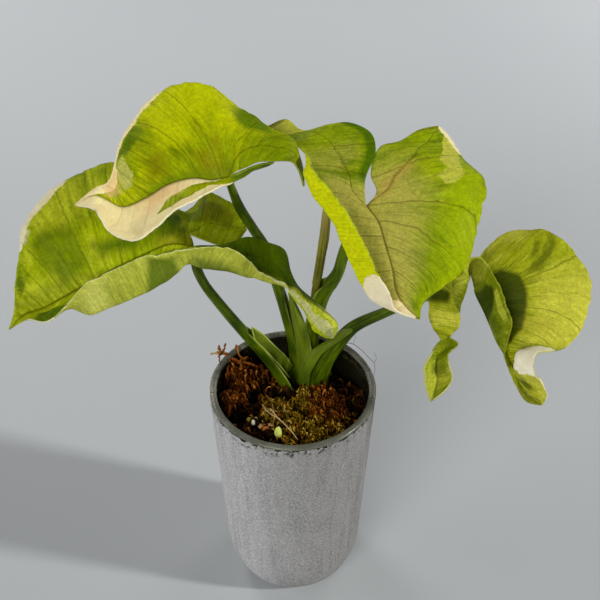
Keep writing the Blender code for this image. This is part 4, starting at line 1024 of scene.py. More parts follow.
def makeStemGroup():
    colours = {label: (0.1, 0.3, 0.05, 1.0) for label in ("Deep", "Bright", "Inner", "Rim", "Foot")}
    tree, given, made = newGroup("stemStreaks", {**colours, "Shine": 0.4},
                                 {"Colour": "Color", "Roughness": "Float", "Height": "Float"})
    coords = put(tree, "TexCoord").outputs
    stretched = put(tree, "Mapping", {"Vector": coords["UV"], "Scale": (26.0, 0.7, 1.0)}).outputs[0]
    streak = noiseAt(tree, stretched, 1.0, 3, 0.55)
    thin = put(tree, "Mapping", {"Vector": coords["UV"], "Scale": (70.0, 1.2, 1.0)}).outputs[0]
    fibre = noiseAt(tree, thin, 1.0, 2)
    broad = noiseAt(tree, coords["Object"], 70, 3)
    share = plus(tree, times(tree, streak, 0.6), times(tree, broad, 0.6))
    colour = mixColour(tree, ramp(tree, share, 0.42, 0.8), given["Deep"], given["Bright"])
    colour = mixColour(tree, times(tree, attribute(tree, "inside"), 0.55), colour, given["Inner"])
    rim = plus(tree, attribute(tree, "rim"), calc(tree, "MULTIPLY_ADD", streak, 0.4, -0.2))
    colour = mixColour(tree, times(tree, ramp(tree, rim, 0.3, 0.9), 0.8), colour, given["Rim"])
    low = less(tree, 1.0, ramp(tree, attribute(tree, "top"), 0.1, 0.24))
    colour = mixColour(tree, times(tree, low, 0.6), colour, given["Foot"])
    grain = ramp(tree, fibre, 0.3, 0.7, 0.88, 1.1)
    shade = put(tree, "CombineColor", {0: grain, 1: grain, 2: grain}).outputs[0]
    tree.links.new(mixColour(tree, 1.0, colour, shade, "MULTIPLY"), made["Colour"])
    tree.links.new(plus(tree, given["Shine"], calc(tree, "MULTIPLY_ADD", fibre, 0.16, -0.08)),
                   made["Roughness"])
    tree.links.new(plus(tree, fibre, times(tree, streak, 1.2)), made["Height"])
    return tree


stemGroup = makeStemGroup()
stemColours = {"Deep": rgb(42, 62, 2), "Bright": rgb(98, 122, 5), "Inner": rgb(146, 160, 50),
               "Rim": rgb(176, 184, 92), "Foot": rgb(44, 62, 3), "Shine": 0.4}
stemShine = {"Subsurface Weight": 0.2, "Subsurface Radius": (0.6, 1.0, 0.2), "Subsurface Scale": 0.0015,
             "Specular IOR Level": 0.12}
stemMaterial = finishWith("stemSkin", stemGroup, stemColours, stemShine, 0.12 * mm, 0.6)
for letter in "abcd":
    spec = {**petioles["petiole_" + letter], "node": "petiole_" + letter}
    makePetiole("petiole" + letter.upper(), spec)


# thin sheaths that clasp the petioles: rows from the foot up, each from one free edge to the other
sheathShared = {"columns": 16, "rowSteps": 7, "thickness": 0.4 * mm}
sheaths = {
    "sheathA": {
        "node": "petiole_a", "pale": (0.25, 0.75),
        "rows": [
            [(1.8, 10.0, 100.2), (4.3, 7.3, 103.0), (6.9, 7.0, 103.3)],
            [(1.8, 9.5, 112.2), (4.7, 7.1, 115.5), (7.7, 7.0, 116.4)],
            [(1.6, 9.0, 121.5), (4.7, 7.1, 124.5), (7.6, 7.5, 125.2)],
            [(1.0, 8.7, 130.5), (3.9, 7.0, 132.7), (6.3, 8.0, 132.7)],
            [(-0.2, 8.5, 138.9), (2.2, 7.3, 140.6), (4.3, 8.5, 140.0)],
            [(-1.0, 8.5, 147.2), (0.6, 7.6, 148.0), (1.8, 9.0, 146.7)],
            [(-1.6, 9.0, 153.7), (-1.4, 8.4, 154.4), (-1.2, 9.0, 153.9)],
        ],
    },
    "sheathB": {
        "node": "petiole_b", "pale": (1.0, 1.0),
        "rows": [
            [(-1.2, 5.5, 108.4), (-1.8, 8.0, 107.7), (0.1, 9.5, 111.6)],
            [(-5.3, 4.5, 116.5), (-5.1, 6.7, 115.2), (-2.4, 8.0, 118.4)],
            [(-9.3, 3.0, 124.4), (-9.0, 5.3, 122.5), (-6.1, 6.5, 125.0)],
            [(-12.5, 2.0, 129.9), (-12.4, 4.2, 128.2), (-9.7, 5.5, 130.8)],
            [(-14.9, 1.5, 133.8), (-14.5, 3.5, 132.0), (-11.7, 4.5, 134.6)],
            [(-15.8, 1.5, 137.7), (-16.3, 3.0, 135.7), (-14.2, 3.5, 138.0)],
            [(-16.3, 2.0, 141.1), (-16.6, 2.5, 140.2), (-16.2, 2.1, 141.0)],
        ],
    },
    "sheathD": {
        "node": "petiole_d", "pale": (0.5, 0.0),
        "rows": [
            [(3.0, 6.0, 102.0), (4.9, 3.9, 103.4), (6.8, 3.5, 104.2)],
            [(3.0, 6.0, 112.1), (5.3, 3.7, 113.8), (7.6, 3.0, 113.9)],
            [(4.3, 6.0, 118.0), (7.0, 3.7, 119.6), (9.7, 3.0, 119.8)],
            [(7.6, 6.0, 123.8), (10.1, 3.9, 125.2), (12.5, 3.5, 125.0)],
            [(15.8, 6.5, 130.7), (17.2, 4.3, 131.6), (18.6, 3.8, 131.0)],
            [(21.1, 7.0, 135.3), (22.4, 4.9, 136.1), (23.8, 4.5, 135.4)],
            [(24.7, 8.0, 136.6), (25.1, 6.2, 137.4), (25.5, 6.0, 136.8)],
        ],
    },
}


def makeSheath(name, spec):
    columns, steps = sheathShared["columns"], sheathShared["rowSteps"]
    grid = np.array([spreadRow(row, columns) for row in spec["rows"]])
    points = np.stack([curveThrough(column, steps) for column in grid.transpose(1, 0, 2)], axis=1)
    across = np.repeat(np.linspace(0, 1, columns + 1)[None, :], len(points), axis=0)
    along = np.repeat(np.linspace(0, 1, len(points))[:, None], columns + 1, axis=1)
    near, other = spec["pale"]
    rim = np.maximum(near * np.clip(1 - across / 0.16, 0, 1), other * np.clip(1 - (1 - across) / 0.16, 0, 1))
    marks = {"rim": np.maximum(rim, np.clip((along - 0.9) / 0.1, 0, 1) * max(near, other)),
             "inside": 0.3 + 0.7 * along * max(near, other), "top": 0.12 + 0.5 * along}
    bm = bmesh.new()
    layers = {kind: bm.verts.layers.float.new(kind) for kind in marks}
    bm.loops.layers.uv.new("UVMap")
    laySheet(bm, points * mm, layers, marks, lambda v, u: (0.25 * u, 4.0 * v))
    bmesh.ops.remove_doubles(bm, verts=bm.verts, dist=0.01 * mm)
    piece = makePiece(name, bm, [stemMaterial], [spec["node"]])
    thicken(piece, sheathShared["thickness"])


for name, spec in sheaths.items():
    makeSheath(name, spec)
dressNode("crown", stemMaterial)
print("petioles made")


def makeYoungLeafGroup():
    tree, given, made = newGroup(
        "rolledStripes", {"Pale": (0.5, 0.5, 0.3, 1.0), "Dark": (0.2, 0.2, 0.05, 1.0),
                          "Tip": (0.5, 0.4, 0.2, 1.0), "Shine": 0.5},
        {"Colour": "Color", "Roughness": "Float", "Height": "Float"})
    coords = put(tree, "TexCoord").outputs
    stretched = put(tree, "Mapping", {"Vector": coords["UV"], "Scale": (22.0, 0.5, 1.0)}).outputs[0]
    stripe = noiseAt(tree, stretched, 1.0, 3, 0.6)
    broad = noiseAt(tree, coords["Object"], 120, 2)
    share = plus(tree, stripe, calc(tree, "MULTIPLY_ADD", broad, 0.4, -0.2))
    colour = mixColour(tree, ramp(tree, share, 0.3, 0.74), given["Dark"], given["Pale"])
    along = put(tree, "SeparateXYZ", {"Vector": coords["UV"]}).outputs["Y"]
    top = ramp(tree, plus(tree, along, stripe), 3.6, 5.6)
    tree.links.new(mixColour(tree, times(tree, top, 0.8), colour, given["Tip"]), made["Colour"])
    tree.links.new(plus(tree, given["Shine"], calc(tree, "MULTIPLY_ADD", broad, 0.1, -0.05)),
                   made["Roughness"])
    tree.links.new(stripe, made["Height"])
    return tree


def makeYoungLeaf():
    route = curveThrough(youngLeaf["route"], youngLeaf["routeSteps"]) * mm
    radii = alongRoute(youngLeaf, "radius", len(route)) * mm
    rings = roundRings(route, radii, youngLeaf["sides"], firstSide=(1.0, 0.0, 0.0))
    turns = np.linspace(0, 1, youngLeaf["sides"], endpoint=False)
    for i, ring in enumerate(rings):       # the outer edge of the roll stands over the layer beneath
        seam = (turns - youngLeaf["twist"] * i / len(rings)) % 1.0
        swell = 1 - youngLeaf["overlap"] + youngLeaf["overlap"] * seam
        rings[i] = route[i] + (ring - route[i]) * swell[:, None]
    bm = bmesh.new()
    start = addTube(bm, rings)
    length = np.linalg.norm(np.diff(route, axis=0), axis=1).sum() * 100
    addTubeUv(bm, start, youngLeaf["sides"], len(rings) - 1, length)
    colours = {"Pale": rgb(140, 138, 44), "Dark": rgb(88, 90, 12), "Tip": rgb(182, 160, 92), "Shine": 0.5}
    material = finishWith("youngLeafSkin", makeYoungLeafGroup(), colours, stemShine, 0.15 * mm, 0.7)
    return makePiece("youngLeafRoll", bm, [material], ["young_leaf"])


makeYoungLeaf()
print("young leaf made")


# Pot: a glass tumbler in a rough stone coat

pot = {
    "height": 109.0, "rimRadius": 35.0, "waistRadius": 30.6, "cornerHeight": 27.0, "footRadius": 20.4,
    "coatTop": 107.0, "coatWall": 1.2, "gap": 0.3, "glassWall": 1.5, "glassFloor": 6.0, "lipRound": 1.2,
    "sides": 240, "coatSteps": 150, "grit": 0.2, "ridge": 0.18, "chips": 0.9,
}


def potRadius(height):
    if height >= pot["cornerHeight"]:
        share = (height - pot["cornerHeight"]) / (pot["height"] - pot["cornerHeight"])
        return pot["waistRadius"] + (pot["rimRadius"] - pot["waistRadius"]) * share
    drop = 1 - height / pot["cornerHeight"]
    spread = (pot["waistRadius"] - pot["footRadius"]) * math.sqrt(max(0.0, 1 - drop * drop))
    return pot["footRadius"] + spread


def glassInside(height):
    return potRadius(height) - pot["coatWall"] - pot["gap"] - pot["glassWall"]


def arc(centre, radius, start, end, count):
    # points of a round stretch of a profile, with angles in degrees
    angles = [math.radians(start + (end - start) * k / count) for k in range(count + 1)]
    return [(centre[0] + radius * math.cos(t), centre[1] + radius * math.sin(t)) for t in angles]


def makeGlass():
    inset = pot["coatWall"] + pot["gap"]
    shoulder = pot["coatTop"] + pot["gap"]
    lip = pot["lipRound"]
    heights = [3, 5, 8, 12, 16, 21, 27, 45, 65, 85, 100]
    profile = [(0.0, inset), (potRadius(1) - inset - 0.6, inset)]
    profile += [(potRadius(h) - inset, h) for h in heights]
    profile += [(potRadius(shoulder) - inset, shoulder)]
    profile += arc((pot["rimRadius"] - 0.9, shoulder + 0.6), 0.6, -90, 0, 4)
    profile += arc((pot["rimRadius"] - lip, pot["height"] - lip), lip, 0, 90, 8)
    inner = glassInside(pot["height"])
    profile += arc((inner + lip, pot["height"] - lip), lip, 90, 180, 8)
    profile += [(glassInside(h), h) for h in (100, 85, 65, 45, 27, 20, 14)]
    profile += arc((glassInside(14) - 5.0, pot["glassFloor"] + 5.0), 5.0, -10, -90, 6)
    profile += [(0.0, pot["glassFloor"])]
    bm = bmesh.new()
    spin(bm, [(radius * mm, height * mm) for radius, height in profile], pot["sides"])
    for face in bm.faces:
        face.material_index = 1 if face.calc_center_median().z > (shoulder + 0.3) * mm else 0
    wall = glassMaterial("tumblerGlass", rgb(138, 134, 98), rgb(160, 156, 118), (0.05, 0.14), 0.96)
    edge = glassMaterial("lipGlass", rgb(158, 160, 142), rgb(184, 186, 170), (0.22, 0.34), 0.7)
    return makePiece("glassTumbler", bm, [wall, edge], ["glass_cup"])


def glassMaterial(name, low, high, roughness, clear):
    material = bpy.data.materials.new(name)
    material.use_nodes = True
    tree = material.node_tree
    shader = tree.nodes["Principled BSDF"]
    spot = put(tree, "TexCoord").outputs["Object"]
    smear = noiseAt(tree, spot, 160, 3)
    colour = mixColour(tree, ramp(tree, smear, 0.35, 0.7), low, high)
    tree.links.new(colour, shader.inputs["Base Color"])
    tree.links.new(ramp(tree, smear, 0.3, 0.8, *roughness), shader.inputs["Roughness"])
    shader.inputs["Transmission Weight"].default_value = clear
    shader.inputs["IOR"].default_value = 1.36
    return material


def makeCoat():
    wall = pot["coatWall"]
    heights = [0.0, 0.5, 1.2] + list(np.linspace(2.0, pot["coatTop"], pot["coatSteps"]))
    outer = [(potRadius(h), h) for h in heights]
    inner = [(potRadius(h) - wall, max(h, wall)) for h in (pot["coatTop"], 80, 50, 27, 16, 9, 4, 0)]
    profile = [(0.0, 0.0), (12.0, 0.0)] + outer + inner + [(0.0, wall)]
    bm = bmesh.new()
    spin(bm, [(radius * mm, height * mm) for radius, height in profile], pot["sides"])
    for vert in bm.verts:
        spot = vert.co / mm
        radius = math.hypot(spot.x, spot.y)
        if spot.z < 1.0 or radius < potRadius(spot.z) - 0.5 * wall:
            continue
        grit = 0.5 * noise.noise(spot * 0.9) + 0.5 * noise.noise(spot * 2.1)
        ridge = noise.noise(Vector((spot.x * 0.35, spot.y * 0.35, spot.z * 0.04)))
        push = pot["grit"] * grit + pot["ridge"] * ridge
        vert.co.x *= 1 + push / radius
        vert.co.y *= 1 + push / radius
        if spot.z > pot["coatTop"] - 0.9:
            chip = max(0.0, noise.noise(spot * 0.5) + 0.05) + 0.6 * max(0.0, noise.noise(spot * 1.6))
            vert.co.z -= pot["chips"] * chip * mm * (1 if spot.z > pot["coatTop"] - 0.1 else 0.4)
    # faces that look inwards take the near-black inside material, which paints the shade inside the pot
    for face in bm.faces:
        middle = face.calc_center_median() / mm
        inward = math.hypot(middle.x, middle.y) < potRadius(max(0.0, middle.z)) - 0.5 * wall
        face.material_index = 1 if inward and middle.z > 0.5 else 0
    return makePiece("stoneCoat", bm, [coatMaterial(), insideMaterial()], ["stone_coat"])


def makeStoneGroup():
    colours = {label: (0.5, 0.5, 0.5, 1.0) for label in ("Light", "Dark", "Pit", "Stain And Shade")}
    tree, given, made = newGroup("stoneGrain", {**colours, "Chip Height": 0.1, "Side Shade": 0.0},
                                 {"Colour": "Color", "Roughness": "Float", "Height": "Float"})
    spot = put(tree, "TexCoord").outputs["Object"]
    broad = noiseAt(tree, spot, 45, 3)
    grain = noiseAt(tree, spot, 1500, 4, 0.7)
    sand = noiseAt(tree, spot, 3000, 2)
    tall = put(tree, "Mapping", {"Vector": spot, "Scale": (260.0, 260.0, 22.0)}).outputs[0]
    streak = noiseAt(tree, tall, 1.0, 4, 0.6)
    share = plus(tree, times(tree, grain, 1.1), times(tree, broad, 0.14))
    share = plus(tree, share, times(tree, streak, 0.4))
    colour = mixColour(tree, ramp(tree, share, 0.59, 1.05), given["Dark"], given["Light"])
    stain = times(tree, ramp(tree, streak, 0.5, 0.72), ramp(tree, broad, 0.4, 0.65))
    colour = mixColour(tree, times(tree, stain, 0.35), colour, given["Stain And Shade"])
    pits = put(tree, "TexVoronoi", {"Vector": spot, "Scale": 520.0, "Randomness": 1.0}).outputs["Distance"]
    some = noiseAt(tree, spot, 330, 2)
    pit = times(tree, less(tree, 1.0, ramp(tree, pits, 0.1, 0.3)), ramp(tree, some, 0.6, 0.7))
    colour = mixColour(tree, times(tree, pit, 0.35), colour, given["Pit"])
    place = put(tree, "SeparateXYZ", {"Vector": spot}).outputs
    # Painted shade: the coat is darkened towards its right side (+X), along an uneven edge, by multiplying in
    # the stain colour as much as Side Shade asks.
    paintedSideShade = plus(tree, place["X"], calc(tree, "MULTIPLY_ADD", streak, 0.02, -0.01))
    paintedSideShade = times(tree, ramp(tree, paintedSideShade, -0.022, 0.012), given["Side Shade"])
    colour = mixColour(tree, paintedSideShade, colour, mixColour(tree, 1.0, colour, given["Stain And Shade"], "MULTIPLY"))
    height = place["Z"]
    top = ramp(tree, plus(tree, height, times(tree, some, 0.004)),
               less(tree, given["Chip Height"], 0.003), given["Chip Height"])
    chip = times(tree, top, ramp(tree, noiseAt(tree, spot, 420, 3, 0.65), 0.54, 0.62))
    colour = mixColour(tree, times(tree, chip, 0.9), colour, given["Pit"])
    tree.links.new(colour, made["Colour"])
    tree.links.new(ramp(tree, grain, 0.3, 0.7, 0.86, 0.98), made["Roughness"])
    relief = plus(tree, times(tree, grain, 1.0), times(tree, sand, 0.35))
    relief = plus(tree, relief, times(tree, streak, 0.9))
    relief = less(tree, relief, times(tree, pit, 0.8))
    tree.links.new(less(tree, relief, times(tree, chip, 0.5)), made["Height"])
    return tree


stoneGroup = makeStoneGroup()


def insideMaterial():
    # Painted shade: the coat's inner face, seen through the glass, is coloured near black for the shade
    # inside the pot.
    colours = {"Light": rgb(34, 30, 20), "Dark": rgb(14, 12, 7), "Pit": rgb(6, 5, 4),
               "Stain And Shade": rgb(30, 24, 10), "Chip Height": 0.2, "Side Shade": 0.0}
    return finishWith("stoneCoatInside", stoneGroup, colours, {"Specular IOR Level": 0.0}, 0.1 * mm, 0.2)


def coatMaterial():
    # Side Shade paints shade over the coat's right side in the stain colour; the same colour tints the stain
    # streaks
    colours = {"Light": rgb(246, 245, 246), "Dark": rgb(166, 166, 167), "Pit": rgb(60, 58, 54),
               "Stain And Shade": rgb(138, 134, 128), "Chip Height": 0.1072, "Side Shade": 0.56}
    return finishWith("stoneCoatRough", stoneGroup, colours, {"Specular IOR Level": 0.1}, 0.8 * mm, 1.0)


makeGlass()
makeCoat()
print("pot made")


# Moss, and what lies on it

moss = {
    "height": 101.0, "frontRise": 3.2, "rightFall": 1.8, "lump": 1.3, "reach": 30.6,
    "sides": 160, "rings": 50, "rough": 1.7, "bedSink": 1.6, "bedTop": 108.0, "seed": 7,
    "mounds": [       # x, y, radius and height of heaps and of the dark hollows between them
        (8.5, 3.5, 6.0, 4.8), (-2.6, 5.8, 3.2, 6.0), (-26, 12, 7, 3.6), (-25, -2.5, 4.5, 2.6),
        (17, -4, 7, 1.8), (-5, -8, 7, 1.8), (-10, -20, 5, 0.8), (-0.5, 1.0, 2.3, -5.0),
        (-29, 4.5, 3.6, -5.0), (-19.5, -9.5, 4.2, -5.0), (25, 20, 10, -4.5), (28, -6, 5, -4.0),
        (-14, 24, 8, -3.0), (4, -24, 4, -1.5), (2, -5, 2.5, -2.5), (-17, 4.5, 4.5, -6.0),
        (14, -13, 3, -3.0), (-27, -12, 4, -4.0),
    ],
}

# strands by colour: count, length and thickness in mm, curl, jag, flatness, lift, highest place, and
# where they gather (x, y, spread, share)
strandKinds = {
    "mossRust": {
        "count": 1150, "length": (2.0, 7), "thick": (0.18, 0.7), "curl": 0.8, "jag": 0.55, "flat": (0.2, 0.6),
        "lift": 2.6, "top": 108.3,
        "gather": [(-24, 13, 8, 3), (-25, -2, 4, 2.5), (15, -6, 8, 3), (10, 0, 6, 1.5), (-12, 18, 8, 1),
                   (0, 0, 28, 1.2)],
        "low": rgb(20, 7, 1), "high": rgb(108, 55, 8), "tip": rgb(198, 122, 44),
    },
    "mossGold": {
        "count": 1750, "length": (1.4, 6), "thick": (0.1, 0.36), "curl": 1.2, "jag": 0.45, "flat": (0.3, 1.0),
        "lift": 2.2, "top": 108.3,
        "gather": [(-5, -8, 8, 4), (6, -2, 6, 2.4), (14, -17, 8, 1.4), (2, -21, 9, 2), (0, 0, 28, 0.8)],
        "low": rgb(40, 30, 2), "high": rgb(152, 116, 10), "tip": rgb(222, 190, 84),
    },
    "mossDark": {
        "count": 800, "length": (3, 10), "thick": (0.15, 0.55), "curl": 0.8, "jag": 0.45, "flat": (0.3, 1.0),
        "lift": 1.0, "top": 107.6,
        "gather": [(0, 0, 30, 1), (20, 8, 10, 0.8), (-14, -14, 8, 0.6)],
        "low": rgb(8, 4, 1), "high": rgb(54, 27, 5), "tip": rgb(104, 60, 16),
    },
    "mossSprig": {
        "count": 230, "length": (2.5, 6), "thick": (0.25, 0.85), "curl": 0.5, "jag": 0.7, "flat": (0.25, 0.6),
        "lift": 4.6, "top": 110.8,
        "gather": [(-27, 16, 5.5, 3), (-22, 21, 4.5, 1.2), (-30.5, 15, 3.5, 1.2), (-20, 14, 5, 1),
                   (12, 2, 5, 0.5)],
        "low": rgb(30, 11, 2), "high": rgb(138, 72, 12), "tip": rgb(226, 146, 62),
    },
}

# single twigs, straw and thread: thickness in mm, shade, and the route
twigs = [
    (0.85, 0.75, [(-30.6, 20.2, 109.5), (-27.1, 18.7, 108), (-23.6, 16.6, 107), (-20.5, 12, 105.5)]),
    (0.8, 0.85, [(-30.6, 20.2, 109.5), (-31.6, 20.9, 110.8), (-32.2, 21.3, 112.4)]),
    (0.85, 1.0, [(-30.4, 20.0, 109.3), (-32.8, 18.8, 110.4), (-35.2, 17.3, 111)]),
    (0.75, 0.7, [(-30.8, 20.0, 109.4), (-31.6, 17.4, 109.8), (-31.4, 14.4, 109.1)]),
    (0.7, 0.8, [(-30.2, 20.4, 109.3), (-29.6, 22.6, 109.9), (-29.2, 24.4, 110.2)]),
    (0.8, 0.6, [(-27.1, 18.7, 108), (-25.2, 21.2, 108.2), (-23, 24, 107.4)]),
    (0.8, 0.7, [(-28.2, 19.2, 108.4), (-27.2, 16.4, 107.6), (-26.1, 13.9, 106.4)]),
    (0.8, 0.6, [(-26.1, 13.9, 106.4), (-27.6, 11.4, 105.8), (-28.8, 9.2, 104.8)]),
    (0.8, 0.7, [(-23.6, 16.6, 107), (-21.4, 18.6, 107), (-19.3, 20.3, 106)]),
    (0.8, 0.6, [(-23.8, 16.4, 107), (-20, 17, 106.2), (-16.2, 16, 105.2)]),
    (0.75, 0.75, [(-24.7, 25.1, 109), (-23.4, 21.4, 108.2), (-21.6, 18, 106.6)]),
    (0.5, 0.65, [(-22.4, 12.6, 105.8), (-24.4, 9.4, 105.4), (-23.8, 6.4, 104)]),
    (0.26, 1.25, [(-9.6, -9.4, 104.9), (-9.0, -10.6, 106.4), (-6.4, -15.4, 106.8), (-3.5, -19.3, 106.9),
                  (-0.6, -23.0, 106.6), (2.0, -26.3, 105.4)]),
    (0.17, 1.15, [(-12.8, -6.8, 105.4), (-10.2, -12.4, 106.6), (-6.0, -16.4, 107.1), (-2.6, -18.6, 106.2)]),
    (0.15, 1.1, [(-8.4, -6.4, 105.2), (-8.0, -11.6, 107.0), (-7.4, -15.2, 106.6), (-8.2, -19.0, 105.2)]),
    (0.15, 1.0, [(-12.0, -11.0, 105.6), (-8.6, -12.2, 107.0), (-4.4, -12.0, 106.4), (-1.0, -10.4, 105.0)]),
    (0.9, 0.95, [(-13.4, -19.6, 104.8), (-12.2, -18.9, 105.5), (-11.0, -18.6, 104.9)]),
    (0.8, 1.0, [(-10.8, -18.6, 104.8), (-9.4, -18.2, 105.6), (-8.2, -18.8, 104.8)]),
    (0.6, 0.9, [(-12.2, -21.6, 105.2), (-11.2, -20.6, 105.9), (-9.6, -20.8, 105.3)]),
    (0.12, 0.0, [(21.3, 28.3, 107.5), (25.9, 23.6, 111), (29.6, 18.6, 111.9), (32.5, 14.4, 111.5),
                 (34.5, 11.9, 111), (34.6, 6.8, 110.9), (33.7, 2.3, 110.5), (34.6, 0.9, 109.3)]),
    (0.1, 0.0, [(25.9, 23.6, 111), (26.9, 26.4, 111.4), (27.4, 29.3, 111.2)]),
    (0.1, 0.0, [(34.5, 11.9, 111), (35.6, 14.2, 111.6), (34.6, 17.6, 112.2)]),
]


def mossHeight(x, y):
    slope = -moss["frontRise"] * y / pot["rimRadius"] - moss["rightFall"] * x / pot["rimRadius"]
    lumps = math.sin(0.41 * x + 0.9) * math.cos(0.37 * y - 0.4)
    lumps += 0.6 * math.sin(0.83 * x - 0.55 * y) + 0.5 * math.cos(0.71 * y + 0.62 * x + 1.3)
    return moss["height"] + slope + moss["lump"] * lumps + heap(x, y)


def heap(x, y):
    total = 0.0
    for atX, atY, radius, height in moss["mounds"]:
        total += height * math.exp(-((x - atX) ** 2 + (y - atY) ** 2) / radius ** 2)
    return total


def makeMossGroup():
    colours = {label: (0.1, 0.05, 0.01, 1.0) for label in ("Low", "High", "Tip")}
    tree, given, made = newGroup("mossFibre", {**colours},
                                 {"Colour": "Color", "Roughness": "Float", "Height": "Float"})
    spot = put(tree, "TexCoord").outputs["Object"]
    broad = noiseAt(tree, spot, 260, 3)
    fine = noiseAt(tree, spot, 1600, 3, 0.7)
    # shade holds each strand's and twig's own tone, and on the bed and strands painted light and shade as
    # well
    shade = attribute(tree, "shade")
    share = plus(tree, shade, calc(tree, "MULTIPLY_ADD", broad, 0.9, -0.45))
    share = plus(tree, share, calc(tree, "MULTIPLY_ADD", fine, 0.5, -0.25))
    colour = mixColour(tree, ramp(tree, share, 0.1, 0.75), given["Low"], given["High"])
    colour = mixColour(tree, ramp(tree, share, 0.8, 1.15), colour, given["Tip"])
    tree.links.new(colour, made["Colour"])
    tree.links.new(ramp(tree, fine, 0.3, 0.7, 0.7, 0.95), made["Roughness"])
    tree.links.new(fine, made["Height"])
    return tree


mossGroup = makeMossGroup()


def mossMaterial(name, low, high, tip):
    return finishWith(name, mossGroup, {"Low": low, "High": high, "Tip": tip},
                      {"Specular IOR Level": 0.06}, 0.3 * mm, 0.8)


def makeMossBed():
    rim = glassInside(moss["height"]) - pot["gap"]
    top = [(rim * k / moss["rings"], moss["height"]) for k in range(moss["rings"] + 1)]
    wall = [(glassInside(h) - pot["gap"], h) for h in (92, 80, 60, 40, 27, 16, 11)]
    profile = top + wall + [(glassInside(pot["glassFloor"]) - 4.0, pot["glassFloor"] + pot["gap"]),
                            (0.0, pot["glassFloor"] + pot["gap"])]
    bm = bmesh.new()
    spin(bm, [(radius * mm, height * mm) for radius, height in profile], moss["sides"])
    shade = bm.verts.layers.float.new("shade")
    for vert in bm.verts:
        spot = vert.co / mm
        if spot.z > moss["height"] - 1:
            lump = noise.fractal(Vector((spot.x, spot.y, 3.0)) * 0.28, 0.7, 2.0, 4)
            height = mossHeight(spot.x, spot.y) - moss["bedSink"] + moss["rough"] * lump
            vert.co.z = min(height, moss["bedTop"]) * mm
            # painted shade and light: the bed is darker where it lies low and in the hollows, lighter on its
            # rises
            vert[shade] = 0.3 + 0.5 * lump + 0.12 * min(0.0, heap(spot.x, spot.y))
    material = mossMaterial("mossBedDark", rgb(12, 6, 3), rgb(66, 38, 10), rgb(110, 70, 22))
    return makePiece("mossBed", bm, [material], ["moss"])


def strandRoute(rng, x, y, length, kind):
    # a loose curved run that leaves the bed, arches over it and dips back
    heading = rng.uniform(0, 2 * math.pi)
    turn = rng.gauss(0, kind["curl"])
    points = []
    count = 6
    rise = rng.uniform(0.1, 1.0) * kind["lift"]
    for k in range(count):
        share = k / (count - 1)
        reach = math.hypot(x, y)
        if reach > moss["reach"]:
            x, y = x * moss["reach"] / reach, y * moss["reach"] / reach
        height = mossHeight(x, y) - 1.2 + rise * math.sin(math.pi * share) * 1.4 + rng.gauss(0, kind["jag"])
        points.append((x, y, min(height, kind["top"] + rng.uniform(-0.6, 0.0))))
        heading += turn + rng.gauss(0, 0.35)
        x += length / count * math.cos(heading)
        y += length / count * math.sin(heading)
    return curveThrough(points, 2)


def pickPlace(rng, gather):
    total = sum(item[3] for item in gather)
    choice = rng.uniform(0, total)
    for x, y, spread, share in gather:
        choice -= share
        if choice <= 0:
            break
    angle, reach = rng.uniform(0, 2 * math.pi), spread * math.sqrt(rng.random())
    return x + reach * math.cos(angle), y + reach * math.sin(angle)


def makeStrands(name, kind, seed):
    rng = random.Random(seed)
    bm = bmesh.new()
    shade = bm.verts.layers.float.new("shade")
    for _ in range(kind["count"]):
        x, y = pickPlace(rng, kind["gather"])
        if math.hypot(x, y) > moss["reach"] or heap(x, y) < rng.uniform(-4.0, -0.8):
            continue
        route = strandRoute(rng, x, y, rng.uniform(*kind["length"]), kind)
        thick = rng.uniform(*kind["thick"])
        profile = np.sin(np.linspace(0.12, 0.94, len(route)) * math.pi) ** 0.6
        profile = profile * (1 + 0.3 * np.array([rng.gauss(0, 0.6) for _ in route]))
        rings = roundRings(route * mm, thick * mm * np.maximum(profile, 0.12), 4,
                           flat=rng.uniform(*kind["flat"]), firstSide=(rng.gauss(0, 1), rng.gauss(0, 1), 1.0))
        tone = min(1.1, max(0.0, rng.gauss(0.5, 0.28)))
        # painted light and shade: each strand is lighter along its raised middle and darker at its ends,
        # where it dips into the bed
        tones = tone * (0.5 + 0.7 * np.sin(np.linspace(0, 1, len(route)) * math.pi))
        addTube(bm, rings, {shade: np.repeat(tones[:, None], 4, axis=1)})
    material = mossMaterial(name + "Skin", kind["low"], kind["high"], kind["tip"])
    return makePiece(name, bm, [material], ["moss"])


def makeTwigs():
    rng = random.Random(moss["seed"])
    bm = bmesh.new()
    shade = bm.verts.layers.float.new("shade")
    for thick, tone, points in twigs:
        route = curveThrough(points, 4)
        rough = 0.0 if thick < 0.3 else 0.2
        route = route + np.array([[rng.gauss(0, rough) for _ in range(3)] for _ in route])
        profile = np.sin(np.linspace(0.3, 0.95, len(route)) * math.pi) ** 0.5
        if thick > 0.3:
            profile = profile * np.array([rng.uniform(0.55, 1.4) for _ in route])
        rings = roundRings(route * mm, thick * mm * np.maximum(profile, 0.3), 6, flat=0.7)
        addTube(bm, rings, {shade: tone})
    material = mossMaterial("mossTwigSkin", rgb(40, 34, 28), rgb(150, 84, 22), rgb(228, 196, 138))
    return makePiece("mossTwigs", bm, [material], ["moss"])


makeMossBed()
makeTwigs()
for index, (name, kind) in enumerate(strandKinds.items()):
    makeStrands(name, kind, moss["seed"] + index)
print("moss made")


grainFinish = {       # pale and deep colour of each grain and of the side shoot
    "grain_white": (rgb(214, 206, 186), rgb(150, 136, 108)),
    "grain_cream": (rgb(206, 190, 140), rgb(140, 118, 66)),
    "grain_yellow": (rgb(196, 190, 70), rgb(120, 110, 26)),
    "side_shoot": (rgb(214, 220, 110), rgb(142, 160, 34)),
}


